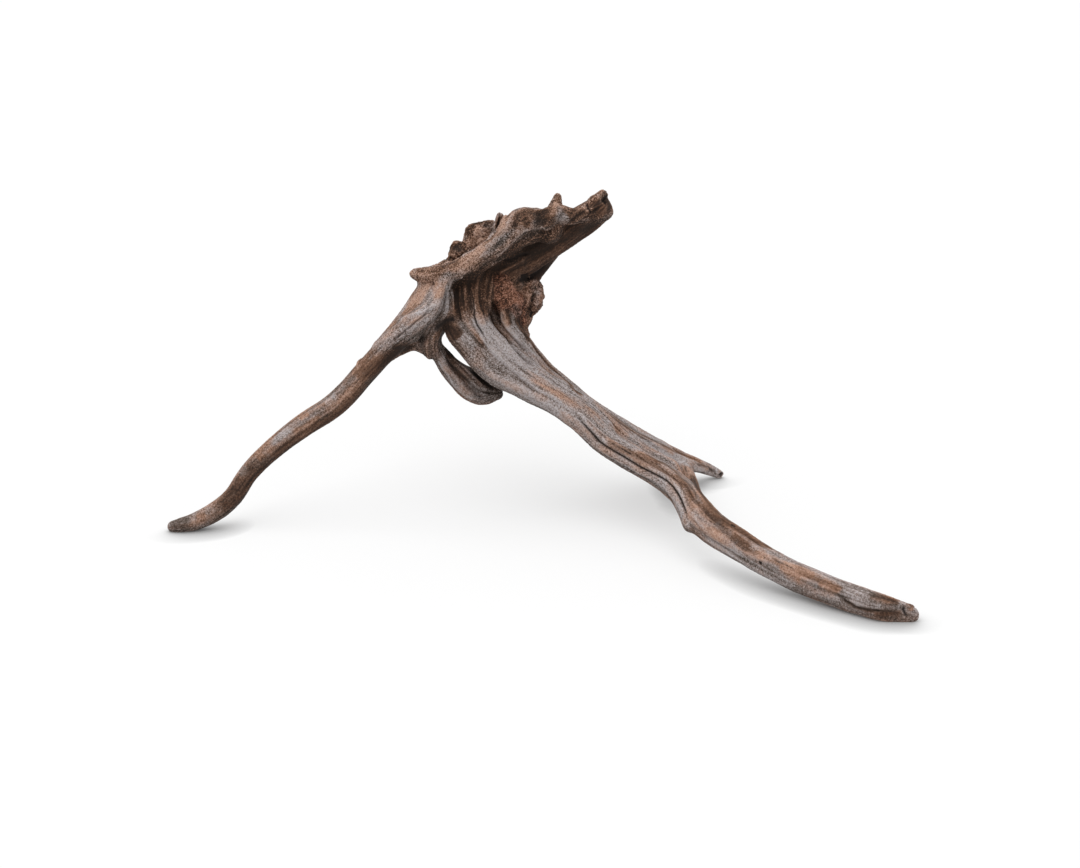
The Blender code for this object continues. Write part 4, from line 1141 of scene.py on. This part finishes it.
def keepSkinNormals(piece, skinFaces):
    # The normals of the uncut skin hide the seams; the cut faces keep their own.
    mesh = piece.data
    skinNormals = np.empty(len(mesh.vertices) * 3, np.float32)
    mesh.attributes["skinNormal"].data.foreach_get("vector", skinNormals)
    skinNormals = unit(skinNormals.reshape(-1, 3))
    corners = np.empty(len(mesh.loops), np.int32)
    mesh.loops.foreach_get("vertex_index", corners)
    normals = skinNormals[corners]
    for face in mesh.polygons[skinFaces:]:
        normals[face.loop_start:face.loop_start + face.loop_total] = face.normal
    mesh.attributes.remove(mesh.attributes["skinNormal"])
    mesh.normals_split_custom_set(normals.tolist())


def splitAtForks(root):
    mesh = root.data
    layer = mesh.attributes.new("skinNormal", "FLOAT_VECTOR", "POINT")
    layer.data.foreach_set("vector", readNormals(mesh).astype(np.float32).ravel())
    pick(root)
    for limb in limbs:
        if "seam" in limb:
            cutSeam(root, limb["seam"])
    pieces = looseParts(root)
    trees = {piece.name: skinTree(piece.data) for piece in pieces}
    print("cut into", len(pieces), "pieces", sorted(len(piece.data.polygons) for piece in pieces))
    owners = {}
    for limb in limbs:
        inside = toFrame(*limb["inside"])
        free = [piece for piece in pieces if piece not in owners.values()]
        owners[limb["node"]] = min(free, key=lambda piece: trees[piece.name].find_nearest(inside)[3])
    # A bump that pokes through a cut comes off as a chip, and goes back on the piece that it came from.
    for chip in [piece for piece in pieces if piece not in owners.values()]:
        edge = Vector(chip.data.vertices[0].co)
        home = min(owners.values(), key=lambda piece: trees[piece.name].find_nearest(edge)[3])
        pick(home)
        chip.select_set(True)
        bpy.ops.object.join()
        bpy.ops.object.mode_set(mode="EDIT")
        bpy.ops.mesh.select_all(action="SELECT")
        bpy.ops.mesh.remove_doubles(threshold=1e-7)
        bpy.ops.object.mode_set(mode="OBJECT")
    for node, piece in owners.items():
        skinFaces = len(piece.data.polygons)
        capCuts(piece)
        keepSkinNormals(piece, skinFaces)
        piece.name = node + "_wood"
        piece.data.name = node + "_wood"
    return owners


# The floor glows evenly; contactReach, contactDepth and contactLean shape the contact shadow that is painted
# into that glow.
stage = {"floorSize": 9, "floorColour": (0.32, 0.32, 0.32), "floorGlow": 0.57, "floorRoughness": 0.9,
         "contactReach": 0.018, "contactDepth": 1.8, "contactLean": (-0.1, 0.75, 0.7), "contactSamples": 16,
         "skyLight": 0.85, "groundLight": 0.72, "horizon": 0.15, "sunStrength": 1.8, "sunAngle": 65,
         "sunFrom": (-0.28, -0.14, 1)}


def buildStage():
    deselectAll()
    bpy.ops.mesh.primitive_plane_add(size=stage["floorSize"])
    floor = bpy.context.object
    floor.name = "floor"
    paint = bpy.data.materials.new("pale_floor")
    paint.use_nodes = True
    shader = paint.node_tree.nodes["Principled BSDF"]
    shader.inputs["Base Color"].default_value = (*stage["floorColour"], 1)
    shader.inputs["Emission Color"].default_value = (1, 1, 1, 1)
    nodes, links = paint.node_tree.nodes, paint.node_tree.links
    # An occlusion test leaned towards the back dims the glow near the wood. This is a painted contact shadow,
    # falling mostly in front of the wood.
    contact = nodes.new("ShaderNodeAmbientOcclusion")
    contact.samples = stage["contactSamples"]
    contact.inputs["Distance"].default_value = stage["contactReach"]
    lean = nodes.new("ShaderNodeCombineXYZ")
    for socket, value in zip(lean.inputs, Vector(stage["contactLean"]).normalized()):
        socket.default_value = value
    links.new(lean.outputs[0], contact.inputs["Normal"])
    glow = nodes.new("ShaderNodeMath")
    glow.operation = "MULTIPLY"
    glow.inputs[1].default_value = stage["floorGlow"]
    deepen = nodes.new("ShaderNodeMath")
    deepen.operation = "POWER"
    deepen.inputs[1].default_value = stage["contactDepth"]
    links.new(contact.outputs["AO"], deepen.inputs[0])
    links.new(deepen.outputs[0], glow.inputs[0])
    links.new(glow.outputs[0], shader.inputs["Emission Strength"])
    shader.inputs["Roughness"].default_value = stage["floorRoughness"]
    shader.inputs["Specular IOR Level"].default_value = 0
    floor.data.materials.append(paint)
    floor.visible_diffuse = False    # the world's lower half gives the bounce from the floor

    world = bpy.data.worlds.new("studio")
    world.use_nodes = True
    nodes, links = world.node_tree.nodes, world.node_tree.links
    place = nodes.new("ShaderNodeTexCoord")
    split = nodes.new("ShaderNodeSeparateXYZ")
    light = nodes.new("ShaderNodeMapRange")
    light.inputs["From Min"].default_value = -stage["horizon"]
    light.inputs["From Max"].default_value = stage["horizon"]
    light.inputs["To Min"].default_value = stage["groundLight"]
    light.inputs["To Max"].default_value = stage["skyLight"]
    links.new(place.outputs["Generated"], split.inputs["Vector"])
    links.new(split.outputs["Z"], light.inputs["Value"])
    links.new(light.outputs["Result"], nodes["Background"].inputs["Strength"])
    nodes["Background"].inputs["Color"].default_value = (1, 1, 1, 1)
    bpy.context.scene.world = world

    bpy.ops.object.light_add(type="SUN", location=(0, 0, 1))
    sun = bpy.context.object
    sun.name = "soft_key"
    sun.data.energy = stage["sunStrength"]
    sun.data.angle = math.radians(stage["sunAngle"])
    sun.rotation_euler = Vector(stage["sunFrom"]).to_track_quat("Z", "Y").to_euler()
    bpy.context.scene.view_settings.view_transform = "Standard"


camera = addCamera()
root = keepLargestPart(fuseStrands())
weatherAndShade(root, camera)
root.data.shade_smooth()
root.data.materials.clear()
root.data.materials.append(woodMaterial())
for node, piece in splitAtForks(root).items():
    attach(piece, "root")
    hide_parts(node)
buildStage()
print("stage set")
